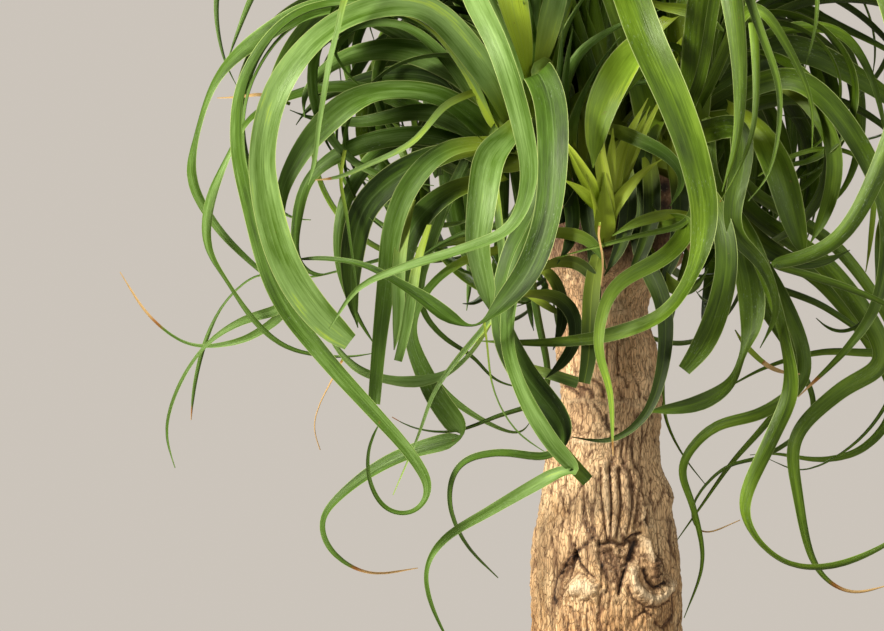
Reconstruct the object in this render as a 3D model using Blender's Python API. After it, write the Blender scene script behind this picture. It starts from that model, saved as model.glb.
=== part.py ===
"""A potted ponytail palm: pot, soil, trunk, three leafy crowns and a young shoot on the front of the trunk.

Run with blender --background --python part.py. Sizes are in metres, +Z is up, and the origin is the middle
of the pot's flat underside. The plant is seen from the -Y side, with +X to the right.

Every long leaf follows a route chosen by hand. A route point is a place in the reference view, in its pixels,
with the width that the leaf shows there; how near the leaf lies to the eye is given beside the route.
"""

import math
import random

import bmesh
import bpy
import numpy as np
from mathutils import Vector
from mathutils.bvhtree import BVHTree

# The reference view
PIXEL = 0.00072
EYE = Vector((-0.1195, -2.2, 0.712))
VIEW_MIDDLE = (442, 315.5)
VIEW_TOP = 0.939

# Pot
POT_HEIGHT = 0.235
POT_TOP_RADIUS = 0.145
POT_BASE_RADIUS = 0.105
POT_WALL = 0.008
POT_FLOOR = 0.012
RIM_HEIGHT = 0.028
RIM_STEP = 0.004
EDGE = 0.003
DRAIN_COUNT = 4
DRAIN_RADIUS = 0.006
DRAIN_CIRCLE = 0.055

# Soil
SOIL_LEVEL = 0.212
SOIL_LUMP = 0.0035

# Trunk: height, sideways lean and radius of each section, from the buried foot to the top
SIDES = 30
TRUNK_SECTIONS = [
    (0.145, 0, 0.050), (0.180, 0, 0.074), (0.212, 0, 0.090), (0.240, 0, 0.0945), (0.275, 0, 0.088),
    (0.320, 0, 0.0735), (0.370, 0, 0.0625), (0.430, 0, 0.0570), (0.485, -0.0007, 0.0547),
    (0.521, -0.0011, 0.0544), (0.550, -0.0018, 0.0522), (0.579, -0.0014, 0.0468), (0.608, -0.0036, 0.0418),
    (0.651, 0.0018, 0.0364), (0.687, -0.0014, 0.0367), (0.718, -0.0040, 0.0335), (0.734, -0.004, 0.0390),
    (0.750, 0.003, 0.0500), (0.768, 0.002, 0.0500), (0.784, 0, 0.0400)]
TRUNK_TOP = 0.792
RING_STEP = 0.0225
BARK_STARTS = 0.226
RIDGE_COUNT = 9
RIDGE_DEPTH = 0.0016
# Knots and pits: angle round the trunk in degrees, height, half width, half height, how far it stands out
KNOTS = [
    (-113, 0.519, 0.017, 0.011, 0.0060), (-113, 0.534, 0.008, 0.009, -0.0050),
    (-52, 0.527, 0.011, 0.014, 0.0055), (-76, 0.541, 0.006, 0.010, -0.0050),
    (-52, 0.509, 0.017, 0.006, 0.0040), (-24, 0.586, 0.012, 0.010, 0.0050),
    (60, 0.560, 0.014, 0.013, 0.0055), (150, 0.470, 0.015, 0.014, 0.0060),
    (105, 0.400, 0.016, 0.012, 0.0050), (-150, 0.360, 0.018, 0.014, 0.0055),
    (-60, 0.330, 0.018, 0.012, 0.0050), (10, 0.300, 0.020, 0.014, 0.0060)]

# Stems: where each arm leaves the trunk, and the foot and tip of its crown, as places in the reference view
SEAT_GAP = 0.0003
STEMS = {
    "crown_left": {"arm": (592, 250, 5), "foot": (556, 180, 18), "tip": (530, 50, 33), "radius": 0.0200},
    "crown_right": {"arm": (625, 250, 0), "foot": (657, 178, -5), "tip": (690, 50, -40), "radius": 0.0200},
    "crown_back": {"arm": (606, 250, -10), "foot": (606, 180, -42), "tip": (598, 50, -78), "radius": 0.0200},
    "front_shoot": {"arm": (606, 262, 28), "foot": (605, 238, 58), "tip": (604, 212, 78), "radius": 0.0085},
}
ARM_SPREAD = 1.25
STEM_SIDES = 14

# Leaves
BLADE_THICKNESS = 0.0008
BLADE_TIP = 0.0014
LONGEST_STEP = 0.110
BEND_PER_STEP = 0.92
BLADE_GAP = 0.0008
ROOT_ZONE = 0.05
ROOT_WIDTH = 0.35
ROOT_OFFSET = 0.4
ROOT_SHARES = (0.3, 0.5, 0.7, 0.9, 0.4, 0.6, 0.8)
LOWEST_ROOT = 0.25
HIGHEST_ROOT = 0.95
DROP_NEEDS_ELBOW = 0.015
ELBOW_REACH = 0.034
ELBOW_RISE = 0.012
SHIFTS = (0, 0.006, 0.012, 0.018, 0.024, 0.032, 0.040, 0.050, 0.060, 0.075)
SPARE_LEAVES = {"crown_back": 21, "crown_right": 8, "crown_left": 7}
SPARE_DIRECTIONS = {"crown_back": (10, 170), "crown_right": (-40, 100), "crown_left": (80, 220)}
SPARE_TRIES = 70
SPARE_SEED = 11
# The outline that the spare leaves keep to: middle and half sizes of the head, and of its part in the view
HEAD_MIDDLE = Vector((0.0, 0.0, 0.880))
HEAD_SIZE = Vector((0.315, 0.300, 0.245))
SEEN_HEAD_MIDDLE = Vector((-0.030, 0.0, 0.896))
SEEN_HEAD_SIZE = Vector((0.252, 1.0, 0.236))
VIEW_RIGHT = 0.199

COLOURS = {
    "pot": (0.62, 0.58, 0.52, 0.75),
    "soil": (0.045, 0.030, 0.020, 0.95),
    "trunk": (0.42, 0.26, 0.14, 0.85),
    "crown_left": (0.085, 0.200, 0.035, 0.42),
    "crown_right": (0.075, 0.185, 0.032, 0.42),
    "crown_back": (0.060, 0.155, 0.028, 0.45),
    "front_shoot": (0.260, 0.400, 0.070, 0.40),
}

# Leaf routes, crown by crown: how near the leaf lies, in millimetres before the trunk's axis, at even
# distances along it, then the points (across, down, width shown)
ROUTES = {
    "crown_left": {
        "big_left_arch": ((40, 70, 95, 110, 105, 92, 60), [
            (520, 140, 26), (480, 65, 32), (420, 7, 28), (340, 22, 24), (280, 85, 25), (262, 155, 24),
            (274, 235, 33), (312, 300, 32), (350, 336, 20), (340, 350, 14), (365, 354, 12), (388, 349, 8)]),
        "long_left_spiral": ((20, 60, 80, 78, 72, 74, 90, 94, 75), [
            (515, 150, 14), (470, 60, 16), (400, 10, 14), (300, 14, 10), (248, 75, 10), (239, 140, 14),
            (252, 208, 16), (280, 297, 22), (322, 354, 26), (372, 410, 25), (413, 457, 18), (430, 490, 7),
            (415, 513, 4), (387, 511, 4), (369, 481, 4), (369, 445, 3), (383, 417, 2)]),
        "far_left_arch": ((-10, -5, 8, 14, 20, 12, -6), [
            (510, 150, 18), (440, 60, 20), (330, 6, 20), (258, 38, 18), (218, 75, 10), (197, 130, 6),
            (191, 178, 12), (215, 225, 11), (256, 267, 10), (310, 310, 6)]),
        "left_s_curve": ((-30, -48, -10, 34, 22, 6, -8), [
            (505, 160, 16), (420, 110, 16), (340, 85, 14), (255, 112, 8), (228, 153, 6), (209, 203, 13),
            (207, 248, 9), (226, 281, 3), (254, 321, 7), (288, 348, 10), (345, 357, 9), (380, 352, 7)]),
        "top_left_far": ((-40, -60, -50, -30, -20), [
            (500, 110, 16), (430, 0, 16), (340, -60, 16), (260, -60, 16), (222, -25, 14), (216, 10, 13),
            (225, 62, 10), (238, 88, 4)]),
        "top_left_near": ((-20, -45, -45, -38, -34), [
            (505, 90, 16), (440, -30, 18), (350, -80, 20), (285, -55, 22), (255, -10, 22), (243, 18, 20),
            (227, 62, 6)]),
        "light_strip": ((40, 62, 70), [
            (505, 130, 15), (470, 72, 15), (435, 30, 15), (410, 15, 14), (385, 12, 6)]),
        "inner_top": ((10, 0, 0, 2, 8), [
            (515, 130, 22), (470, 78, 24), (400, 49, 25), (335, 62, 24), (303, 97, 14), (305, 118, 6)]),
        "inner_dark": ((-15, -32, -32, -25), [
            (512, 150, 20), (435, 78, 22), (362, 80, 20), (308, 108, 12), (296, 125, 6)]),
        "broad_inner_arch": ((30, 38, 42, 50, 52, 45), [
            (510, 150, 20), (440, 98, 18), (368, 95, 18), (318, 130, 30), (286, 180, 28), (280, 205, 20),
            (281, 228, 14), (290, 255, 8)]),
        "inner_low": ((0, -5, -8, -15), [
            (508, 150, 14), (430, 112, 15), (360, 122, 15), (310, 118, 8), (290, 110, 4)]),
        "curled_inner": ((15, 13, 20, 16, 2, -5), [
            (510, 160, 14), (430, 135, 16), (355, 146, 15), (310, 175, 8), (297, 218, 9), (298, 263, 6),
            (320, 277, 4), (336, 271, 3)]),
        "inner_hook": ((25, 25, 22, 12, 2), [
            (512, 165, 16), (440, 155, 20), (390, 178, 20), (360, 210, 22), (354, 262, 20), (372, 318, 8)]),
        "hanging_hook": ((50, 58, 60, 56, 50, 46), [
            (515, 170, 14), (455, 143, 15), (416, 175, 14), (396, 228, 14), (388, 290, 16), (377, 360, 14),
            (372, 400, 8)]),
        "olive_hook": ((20, 24, 25, 20), [
            (515, 185, 16), (455, 192, 16), (418, 225, 20), (411, 272, 14), (415, 300, 8)]),
        "dark_hook": ((5, 6, 10), [(520, 215, 10), (460, 234, 9), (415, 262, 6), (405, 280, 3)]),
        "c_shape": ((-10, -20, -5, 5, 8, 0), [
            (505, 160, 14), (400, 140, 14), (350, 190, 14), (338, 252, 13), (353, 308, 14), (378, 350, 8)]),
        "front_long": ((30, 85, 170, 178, 166, 136), [
            (525, 70, 26), (505, -20, 24), (475, -85, 22), (470, -20, 21), (500, 48, 21), (522, 122, 20),
            (530, 180, 16), (512, 228, 10), (462, 250, 9), (405, 267, 8), (358, 288, 5), (329, 329, 2)]),
        "front_wide": ((40, 105, 133, 138, 128, 116, 108, 96), [
            (545, 130, 24), (536, 90, 28), (537, 70, 32), (549, 95, 34), (554, 155, 33), (549, 215, 29),
            (529, 272, 28), (492, 315, 22), (458, 319, 12), (418, 293, 11), (364, 265, 9), (310, 257, 5),
            (290, 260, 3)]),
        "front_hanging": ((40, 108, 124, 123, 116), [
            (530, 150, 26), (500, 132, 33), (486, 158, 34), (483, 188, 33), (479, 218, 30), (477, 245, 26),
            (487, 293, 19), (491, 312, 12)]),
        "dark_front": ((70, 88, 90, 95, 97, 80, 72, 66, 60), [
            (540, 200, 20), (514, 250, 20), (501, 312, 20), (520, 368, 30), (557, 415, 28), (566, 435, 18),
            (562, 449, 8), (548, 459, 8), (498, 454, 7), (460, 465, 5), (450, 500, 3.5), (465, 542, 3),
            (498, 578, 1.5)]),
        "bright_front": ((85, 104, 109, 114, 111, 88, 76, 64, 54), [
            (545, 205, 16), (518, 270, 16), (508, 340, 14), (526, 398, 15), (555, 447, 20), (580, 474, 12),
            (566, 470, 10), (540, 482, 15), (488, 512, 13), (444, 539, 9), (427, 566, 4), (429, 598, 5),
            (455, 655, 2)]),
        "brown_tipped": ((-20, 5, 22, 22, 6, -2, -7, -10), [
            (500, 250, 14), (450, 270, 14), (402, 330, 14), (417, 372, 24), (447, 409, 28), (465, 438, 8),
            (425, 449, 14), (370, 474, 12), (322, 520, 4), (331, 550, 5), (368, 573, 3), (418, 568, 1.5)]),
        "thin_drop": ((40, 46, 48, 46), [
            (500, 300, 8), (458, 358, 6), (434, 392, 5), (419, 434, 4), (393, 495, 1.5)]),
        "low_bow": ((10, 20, 26, 22, 8), [
            (500, 300, 8), (478, 345, 8), (444, 375, 10), (392, 382, 11), (350, 364, 11), (326, 332, 5)]),
        "dark_cup": ((-30, -30, -30), [
            (410, 330, 8), (440, 388, 10), (498, 428, 10), (524, 434, 6), (530, 422, 4)]),
        "orange_tipped": ((10, 4, 4, 0), [
            (535, 300, 9), (545, 395, 9), (497, 416, 9), (452, 432, 7), (410, 427, 4), (392, 417, 2)]),
        "low_wave": ((-10, -15, -20, -25), [
            (420, 300, 8), (443, 337, 9), (473, 356, 7), (496, 381, 9), (540, 390, 6)]),
        "left_drop": ((-40, -60, -45, -35, -28, -24, -20), [
            (500, 200, 14), (430, 200, 14), (370, 240, 13), (292, 312, 11), (246, 319, 7), (209, 342, 4),
            (179, 385, 3), (166, 432, 3), (175, 468, 1.5)]),
        "left_whisker": ((-60, -80, -68, -58, -50, -44), [
            (500, 210, 14), (420, 230, 14), (350, 270, 12), (285, 320, 9), (240, 341, 6), (190, 345, 3),
            (150, 317, 3), (120, 272, 1.5)]),
        "left_thread": ((-70, -100, -90, -76, -68, -64), [
            (500, 190, 12), (400, 190, 12), (320, 220, 10), (258, 274, 5), (224, 303, 4), (205, 342, 5),
            (194, 388, 4), (191, 420, 2)]),
        "trunk_loop": ((60, 66, 70, 60), [
            (500, 290, 8), (535, 298, 9), (564, 294, 10), (576, 327, 10), (551, 372, 6)]),
        "heart_left": ((30, 30, 20), [(530, 70, 16), (518, 0, 18), (496, -90, 14), (455, -140, 6)]),
        "heart_middle": ((34, 44, 60), [(534, 60, 14), (536, -20, 16), (548, -110, 12), (585, -165, 5)]),
        "heart_right": ((26, 10, -10), [(545, 65, 18), (558, 20, 20), (590, -60, 16), (640, -110, 6)]),
        "centre_arch": ((20, 40, 50, 55), [(560, 110, 10), (578, 54, 10), (628, 21, 9), (660, 10, 6)]),
        "centre_bow": ((40, 66, 76, 72), [
            (590, 125, 10), (628, 138, 14), (672, 158, 14), (684, 176, 8), (660, 212, 4)]),
        "centre_low": ((20, 38, 42), [(560, 125, 12), (588, 94, 13), (640, 82, 12), (665, 82, 8)]),
    },
    "crown_right": {
        "right_front_long": ((20, 50, 110, 178, 194, 196, 190, 172, 153, 134), [
            (655, 110, 28), (620, 0, 32), (598, -70, 36), (618, -35, 38), (646, 38, 38), (674, 100, 37),
            (695, 160, 35), (705, 218, 28), (695, 270, 14), (666, 313, 13), (618, 333, 14), (558, 342, 13),
            (500, 342, 9), (480, 341, 4)]),
        "right_front_wide": ((20, 50, 95, 130, 138, 140, 134), [
            (690, 120, 26), (700, 20, 26), (716, -70, 26), (733, 5, 26), (740, 75, 26), (737, 140, 24),
            (722, 192, 8)]),
        "right_front_thin": ((0, 25, 70, 100, 106, 103), [
            (700, 100, 12), (720, 0, 12), (742, -20, 12), (756, 60, 12), (752, 135, 11), (730, 186, 6),
            (720, 202, 3)]),
        "right_front_bent": ((30, 85, 94, 97, 97, 84, 80, 72), [
            (700, 130, 16), (742, 130, 20), (742, 160, 22), (732, 215, 22), (736, 236, 21), (762, 264, 12),
            (777, 310, 11), (760, 348, 5)]),
        "right_sweep": ((10, 50, 75, 92, 96, 100, 96, 84, 66), [
            (720, 60, 20), (780, -60, 22), (850, -70, 22), (905, 70, 22), (878, 172, 21), (838, 239, 23),
            (797, 259, 18), (765, 264, 4), (805, 275, 7), (858, 292, 6), (910, 318, 4), (930, 340, 2)]),
        "right_inner_hook": ((50, 92, 100, 101, 95, 78), [
            (690, 170, 20), (722, 220, 22), (724, 272, 22), (704, 340, 18), (684, 368, 6), (668, 402, 8),
            (664, 420, 4)]),
        "right_low_hook": ((10, 40, 55, 60, 66, 80), [
            (700, 180, 20), (735, 230, 24), (752, 310, 26), (744, 348, 8), (735, 378, 11), (700, 403, 15),
            (645, 412, 3)]),
        "trunk_dark_hook": ((60, 80, 87, 90, 90, 87), [
            (640, 240, 14), (664, 305, 17), (663, 365, 17), (645, 416, 12), (610, 441, 8), (572, 437, 2)]),
        "trunk_light_hook": ((60, 95, 104, 102, 98, 95), [
            (650, 215, 10), (688, 225, 12), (668, 254, 14), (612, 290, 12), (598, 347, 8), (610, 390, 7),
            (613, 456, 1.5)]),
        "trunk_bar": ((90, 93, 88), [(690, 220, 6), (640, 235, 9), (580, 251, 6), (556, 258, 3)]),
        "right_s_curve": ((-20, 0, 20, 29, 26, 22, 16, 10), [
            (700, 200, 12), (760, 260, 12), (805, 375, 12), (765, 412, 12), (712, 428, 13), (681, 468, 7),
            (692, 503, 6), (703, 562, 4), (684, 618, 1.5)]),
        "trunk_back_drop": ((-50, -52, -46, -30, -10), [
            (690, 240, 8), (668, 330, 8), (664, 412, 7), (682, 454, 7), (705, 484, 2)]),
        "right_long_curl": ((30, 50, 59, 62, 60, 56, 54, 50, 46, 40), [
            (710, 180, 14), (750, 240, 14), (783, 340, 8), (790, 392, 13), (771, 440, 15), (743, 506, 8),
            (754, 537, 4), (787, 564, 4), (828, 567, 5), (880, 548, 5), (935, 510, 2)]),
        "right_dark_drop": ((-60, -60, -50, -42, -36, -28), [
            (720, 230, 10), (800, 370, 10), (765, 425, 10), (733, 461, 10), (702, 505, 7), (675, 543, 1.5)]),
        "right_inner_curl": ((-20, -12, -5, 0, 4, 4), [
            (730, 250, 8), (815, 410, 8), (768, 455, 7), (725, 467, 8), (691, 509, 5), (700, 534, 3),
            (740, 520, 1.5)]),
        "right_back_bow": ((-80, -90, -80, -72, -66, -58), [
            (730, 230, 14), (820, 280, 15), (895, 400, 15), (866, 447, 9), (824, 460, 11), (772, 453, 9),
            (750, 455, 4)]),
        "right_thin_bow": ((-40, -50, -46, -42, -36), [
            (730, 260, 8), (830, 310, 7), (895, 370, 6), (866, 433, 4), (802, 471, 4.5), (769, 459, 3)]),
        "right_pale_tipped": ((0, 10, 18, 26, 28, 28, 28), [
            (740, 200, 14), (830, 270, 16), (884, 360, 17), (840, 391, 16), (795, 438, 11), (798, 495, 10),
            (818, 571, 5), (850, 593, 3), (892, 584, 1.5)]),
        "right_flat_return": ((-30, -40, -35, -30, -26), [
            (740, 180, 10), (840, 250, 11), (895, 347, 10), (820, 352, 10), (764, 368, 10), (720, 392, 5)]),
        "right_round_bow": ((20, 55, 60, 56, 50, 44), [
            (720, 100, 16), (800, 80, 18), (884, 200, 18), (878, 300, 9), (850, 345, 15), (798, 397, 10)]),
        "top_right_far": ((-40, -48, -52, -56), [
            (700, 70, 14), (775, 3, 14), (842, 27, 14), (905, 62, 10), (930, 95, 5)]),
        "top_right_hook": ((-20, -16, -8, 0), [
            (705, 80, 12), (780, 31, 11), (838, 31, 14), (868, 68, 12), (893, 165, 5)]),
        "top_right_broad": ((-10, -25, -31, -34), [
            (705, 90, 30), (785, 48, 34), (858, 78, 33), (918, 125, 18), (935, 165, 6)]),
        "top_right_back": ((-60, -66, -72, -74), [
            (710, 110, 12), (815, 95, 13), (884, 126, 12), (930, 190, 3)]),
        "top_right_loop": ((60, 85, 94, 94), [
            (720, 60, 10), (760, -60, 12), (805, -70, 12), (817, 15, 10), (804, 72, 3)]),
        "right_front_curl": ((60, 120, 140, 141, 138), [
            (700, 80, 12), (728, -45, 12), (760, 30, 12), (780, 95, 10), (768, 176, 4), (748, 201, 2)]),
        "right_short_curl": ((40, 58, 60, 60), [
            (705, 90, 12), (755, 5, 13), (792, 55, 14), (812, 105, 8), (812, 148, 2)]),
        "right_broad_drop": ((10, 26, 31, 32), [
            (705, 130, 20), (745, 125, 24), (782, 175, 28), (794, 230, 22), (803, 250, 10)]),
        "right_back_drop": ((-20, -12, -6, -4), [
            (715, 120, 12), (812, 100, 13), (835, 150, 14), (824, 208, 12), (814, 236, 6)]),
        "glossy_front": ((30, 80, 98, 100), [
            (670, 90, 18), (648, 25, 20), (618, 60, 24), (598, 118, 26), (598, 168, 6)]),
        "glossy_low": ((60, 82, 90), [(665, 50, 10), (628, 88, 13), (605, 128, 8)]),
        "heart_back": ((0, 10, 20), [(690, 110, 20), (692, 45, 24), (700, 0, 20), (684, -80, 12), (640, -140, 5)]),
        "heart_out": ((-30, -40, -60), [(692, 70, 14), (712, -20, 16), (760, -110, 12), (830, -150, 5)]),
    },
    "front_shoot": {
        "shoot_left": ((78, 84, 92, 94), [(604, 216, 10), (597, 195, 9), (572, 150, 7), (555, 130, 4)]),
        "shoot_low_left": ((76, 80, 88), [(604, 214, 10), (590, 200, 12), (575, 186, 10), (560, 178, 6)]),
        "shoot_tall": ((78, 82, 88, 90), [(606, 212, 10), (603, 180, 12), (599, 150, 11), (604, 95, 3)]),
        "shoot_right": ((76, 76, 80, 82), [(608, 212, 10), (614, 180, 12), (622, 150, 11), (648, 98, 4)]),
        "shoot_long_right": ((74, 72, 68, 66), [
            (609, 212, 9), (622, 180, 9), (638, 145, 8), (656, 108, 6), (672, 80, 3)]),
        "shoot_low_right": ((76, 78, 82), [(610, 214, 9), (626, 190, 9), (645, 170, 8), (664, 158, 5)]),
        "shoot_hanging": ((70, 84, 90, 92), [(602, 236, 10), (597, 275, 14), (588, 328, 16), (590, 380, 12)]),
    },
}


def clear_scene():
    for obj in list(bpy.data.objects):
        bpy.data.objects.remove(obj)


def finish_of(name):
    """The piece's own material, with its colour and roughness."""
    red, green, blue, roughness = COLOURS[name]
    material = bpy.data.materials.new(name)
    material.use_nodes = True
    shader = material.node_tree.nodes["Principled BSDF"]
    shader.inputs["Base Color"].default_value = (red, green, blue, 1)
    shader.inputs["Roughness"].default_value = roughness
    shader.inputs["Metallic"].default_value = 0
    return material


def add_object(name, vertices, faces, collection=None):
    mesh = bpy.data.meshes.new(name)
    mesh.from_pydata([tuple(v) for v in vertices], [], faces)
    mesh.validate()
    obj = bpy.data.objects.new(name, mesh)
    (collection or bpy.context.scene.collection).objects.link(obj)
    return obj


def turned(name, rings, sides, collection=None):
    """A closed body of rings of points, from the bottom pole to the top pole. A pole is a ring of one point."""
    vertices = []
    starts = []
    for ring in rings:
        starts.append(len(vertices))
        vertices.extend(ring)
    faces = []
    for low, high in zip(range(len(rings) - 1), range(1, len(rings))):
        for side in range(sides):
            following = (side + 1) % sides
            if len(rings[low]) == 1:
                faces.append((starts[low], starts[high] + following, starts[high] + side))
            elif len(rings[high]) == 1:
                faces.append((starts[low] + side, starts[low] + following, starts[high]))
            else:
                faces.append((starts[low] + side, starts[low] + following,
                              starts[high] + following, starts[high] + side))
    return add_object(name, vertices, faces, collection)


def level_ring(radius, height, sides, lean=0.0, relief=None):
    """A ring of points round the upright axis; relief(angle, height) moves each point in or out and up."""
    if radius == 0:
        return [Vector((lean, 0, height))]
    points = []
    for side in range(sides):
        angle = 2 * math.pi * side / sides
        out, rise = relief(angle, height) if relief else (0.0, 0.0)
        reach = radius + out
        points.append(Vector((lean + reach * math.cos(angle), reach * math.sin(angle), height + rise)))
    return points


def apply_modifiers(obj):
    graph = bpy.context.evaluated_depsgraph_get()
    mesh = bpy.data.meshes.new_from_object(obj.evaluated_get(graph))
    obj.modifiers.clear()
    obj.data = mesh


def join_with(base, collection, solver="EXACT"):
    """Unites base with all that the collection holds, then removes the collection and its objects."""
    union = base.modifiers.new("union", "BOOLEAN")
    union.operation = "UNION"
    union.operand_type = "COLLECTION"
    union.collection = collection
    union.solver = solver
    apply_modifiers(base)
    for obj in list(collection.objects):
        bpy.data.objects.remove(obj)
    bpy.data.collections.remove(collection)


def keep_main_body(obj):
    """Drops loose scraps and fills sealed hollows: only the largest closed surface stays."""
    bm = bmesh.new()
    bm.from_mesh(obj.data)
    left = set(bm.faces)
    shells = []
    while left:
        shell = set()
        front = [left.pop()]
        while front:
            face = front.pop()
            shell.add(face)
            for edge in face.edges:
                for other in edge.link_faces:
                    if other in left:
                        left.remove(other)
                        front.append(other)
        shells.append(shell)
    shells.sort(key=len, reverse=True)
    for shell in shells[1:]:
        bmesh.ops.delete(bm, geom=list(shell), context="FACES")
    bm.to_mesh(obj.data)
    bm.free()


def new_collection(name):
    collection = bpy.data.collections.new(name)
    bpy.context.scene.collection.children.link(collection)
    return collection


def pot_wall_radius(height):
    """The outer radius of the tapered wall below the rim."""
    return POT_BASE_RADIUS + (POT_TOP_RADIUS - RIM_STEP - POT_BASE_RADIUS) * height / POT_HEIGHT


def pot_inner_radius(height):
    return pot_wall_radius(height) - POT_WALL


def make_pot():
    rim_foot = POT_HEIGHT - RIM_HEIGHT
    profile = [
        (0, 0), (POT_BASE_RADIUS - EDGE, 0), (POT_BASE_RADIUS, EDGE), (pot_wall_radius(rim_foot), rim_foot),
        (pot_wall_radius(rim_foot) + RIM_STEP, rim_foot + EDGE),
        (POT_TOP_RADIUS, POT_HEIGHT - EDGE), (POT_TOP_RADIUS - EDGE, POT_HEIGHT),
        (pot_inner_radius(POT_HEIGHT) + EDGE, POT_HEIGHT), (pot_inner_radius(POT_HEIGHT - EDGE), POT_HEIGHT - EDGE),
        (pot_inner_radius(POT_FLOOR), POT_FLOOR), (0, POT_FLOOR)]
    pot = turned("pot", [level_ring(radius, height, SIDES) for radius, height in profile], SIDES)
    cutters = new_collection("drain cutters")
    for place in range(DRAIN_COUNT):
        angle = 2 * math.pi * (place + 0.5) / DRAIN_COUNT
        bm = bmesh.new()
        bmesh.ops.create_cone(bm, cap_ends=True, segments=12, radius1=DRAIN_RADIUS, radius2=DRAIN_RADIUS,
                              depth=3 * POT_FLOOR)
        mesh = bpy.data.meshes.new("drain cutter")
        bm.to_mesh(mesh)
        bm.free()
        cutter = bpy.data.objects.new("drain cutter", mesh)
        cutter.location = (DRAIN_CIRCLE * math.cos(angle), DRAIN_CIRCLE * math.sin(angle), POT_FLOOR / 2)
        cutters.objects.link(cutter)
    drains = pot.modifiers.new("drains", "BOOLEAN")
    drains.operation = "DIFFERENCE"
    drains.operand_type = "COLLECTION"
    drains.collection = cutters
    apply_modifiers(pot)
    for cutter in list(cutters.objects):
        bpy.data.objects.remove(cutter)
    bpy.data.collections.remove(cutters)
    return pot


def trunk_section(height):
    """Sideways lean and radius of the trunk at a height, read smoothly between its sections."""
    heights, leans, radii = (np.array(column) for column in zip(*TRUNK_SECTIONS))
    values = []
    for column in (leans, radii):
        slopes = np.gradient(column, heights)
        span = int(np.clip(np.searchsorted(heights, height) - 1, 0, len(heights) - 2))
        step = heights[span + 1] - heights[span]
        s = (height - heights[span]) / step
        values.append((1 + 2 * s) * (1 - s) ** 2 * column[span] + s * (1 - s) ** 2 * step * slopes[span]
                      + s * s * (3 - 2 * s) * column[span + 1] + s * s * (s - 1) * step * slopes[span + 1])
    return values


def bark(angle, height):
    """How far the bark stands out of the trunk's round section, and no rise."""
    fade = min(1, max(0, (height - BARK_STARTS) / 0.02)) * min(1, max(0, (TRUNK_TOP - 0.012 - height) / 0.02))
    drift = 0.5 * math.sin(21 * height) + 0.35 * math.sin(47 * height + 1)
    ridges = math.sin(RIDGE_COUNT * angle + 3 * drift) * (0.6 + 0.4 * math.sin(2 * angle + 60 * height))
    bands = 0.5 * math.sin(330 * height + math.sin(3 * angle))
    out = RIDGE_DEPTH * (ridges + 0.5 * bands)
    for degrees, middle, half_width, half_height, proud in KNOTS:
        turn = (angle - math.radians(degrees) + math.pi) % (2 * math.pi) - math.pi
        sideways = turn * trunk_section(height)[1] / half_width
        upward = (height - middle) / half_height
        out += proud * math.exp(-sideways * sideways - upward * upward)
    return fade * out, 0.0


def sighted(across, down, near):
    """The point at a place of the reference view, near metres before the trunk's axis."""
    scale = PIXEL * (-EYE.y - near) / -EYE.y
    return Vector((EYE.x + (across - VIEW_MIDDLE[0]) * scale, -near, EYE.z - (down - VIEW_MIDDLE[1]) * scale))


def stem_points(name):
    """Where the stem's arm starts, and the foot and tip of its crown."""
    stem = STEMS[name]
    return [sighted(across, down, near / 1000) for across, down, near in (stem["arm"], stem["foot"], stem["tip"])]


def stem_body(name, start, end, radii, facing, collection=None, round_end=False):
    """A tapered round length from start to end, its sections square to facing, flat or rounded at its end."""
    along = facing.normalized()
    side = along.cross(Vector((0, 1, 0.3))).normalized()
    other = along.cross(side)
    rings = [[start]]
    for step, radius in enumerate(radii):
        middle = start.lerp(end, step / (len(radii) - 1))
        rings.append([
            middle + radius * (math.cos(turn) * side + math.sin(turn) * other)
            for turn in (2 * math.pi * place / STEM_SIDES for place in range(STEM_SIDES))])
    rings.append([end + along * (radii[-1] if round_end else 0)])
    return turned(name, rings, STEM_SIDES, collection)


def make_trunk():
    rings = [[Vector((0, 0, TRUNK_SECTIONS[0][0]))]]
    buried = [section[0] for section in TRUNK_SECTIONS[:3]]
    count = round((TRUNK_SECTIONS[-1][0] - SOIL_LEVEL) / RING_STEP)
    shown = [float(h) for h in np.linspace(SOIL_LEVEL, TRUNK_SECTIONS[-1][0], count + 1)]
    for height in buried + shown[1:]:
        lean, radius = trunk_section(height)
        rings.append(level_ring(radius, height, SIDES, lean, bark))
    rings.append([Vector((0, 0, TRUNK_TOP))])
    trunk = turned("trunk", rings, SIDES)
    arms = new_collection("arms")
    for name, stem in STEMS.items():
        start, foot, tip = stem_points(name)
        end = foot - (tip - foot).normalized() * SEAT_GAP
        radius = stem["radius"]
        stem_body("arm", start, end, [ARM_SPREAD * radius, 1.1 * radius, radius], tip - foot, arms)
    join_with(trunk, arms)
    keep_main_body(trunk)
    return trunk


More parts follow.
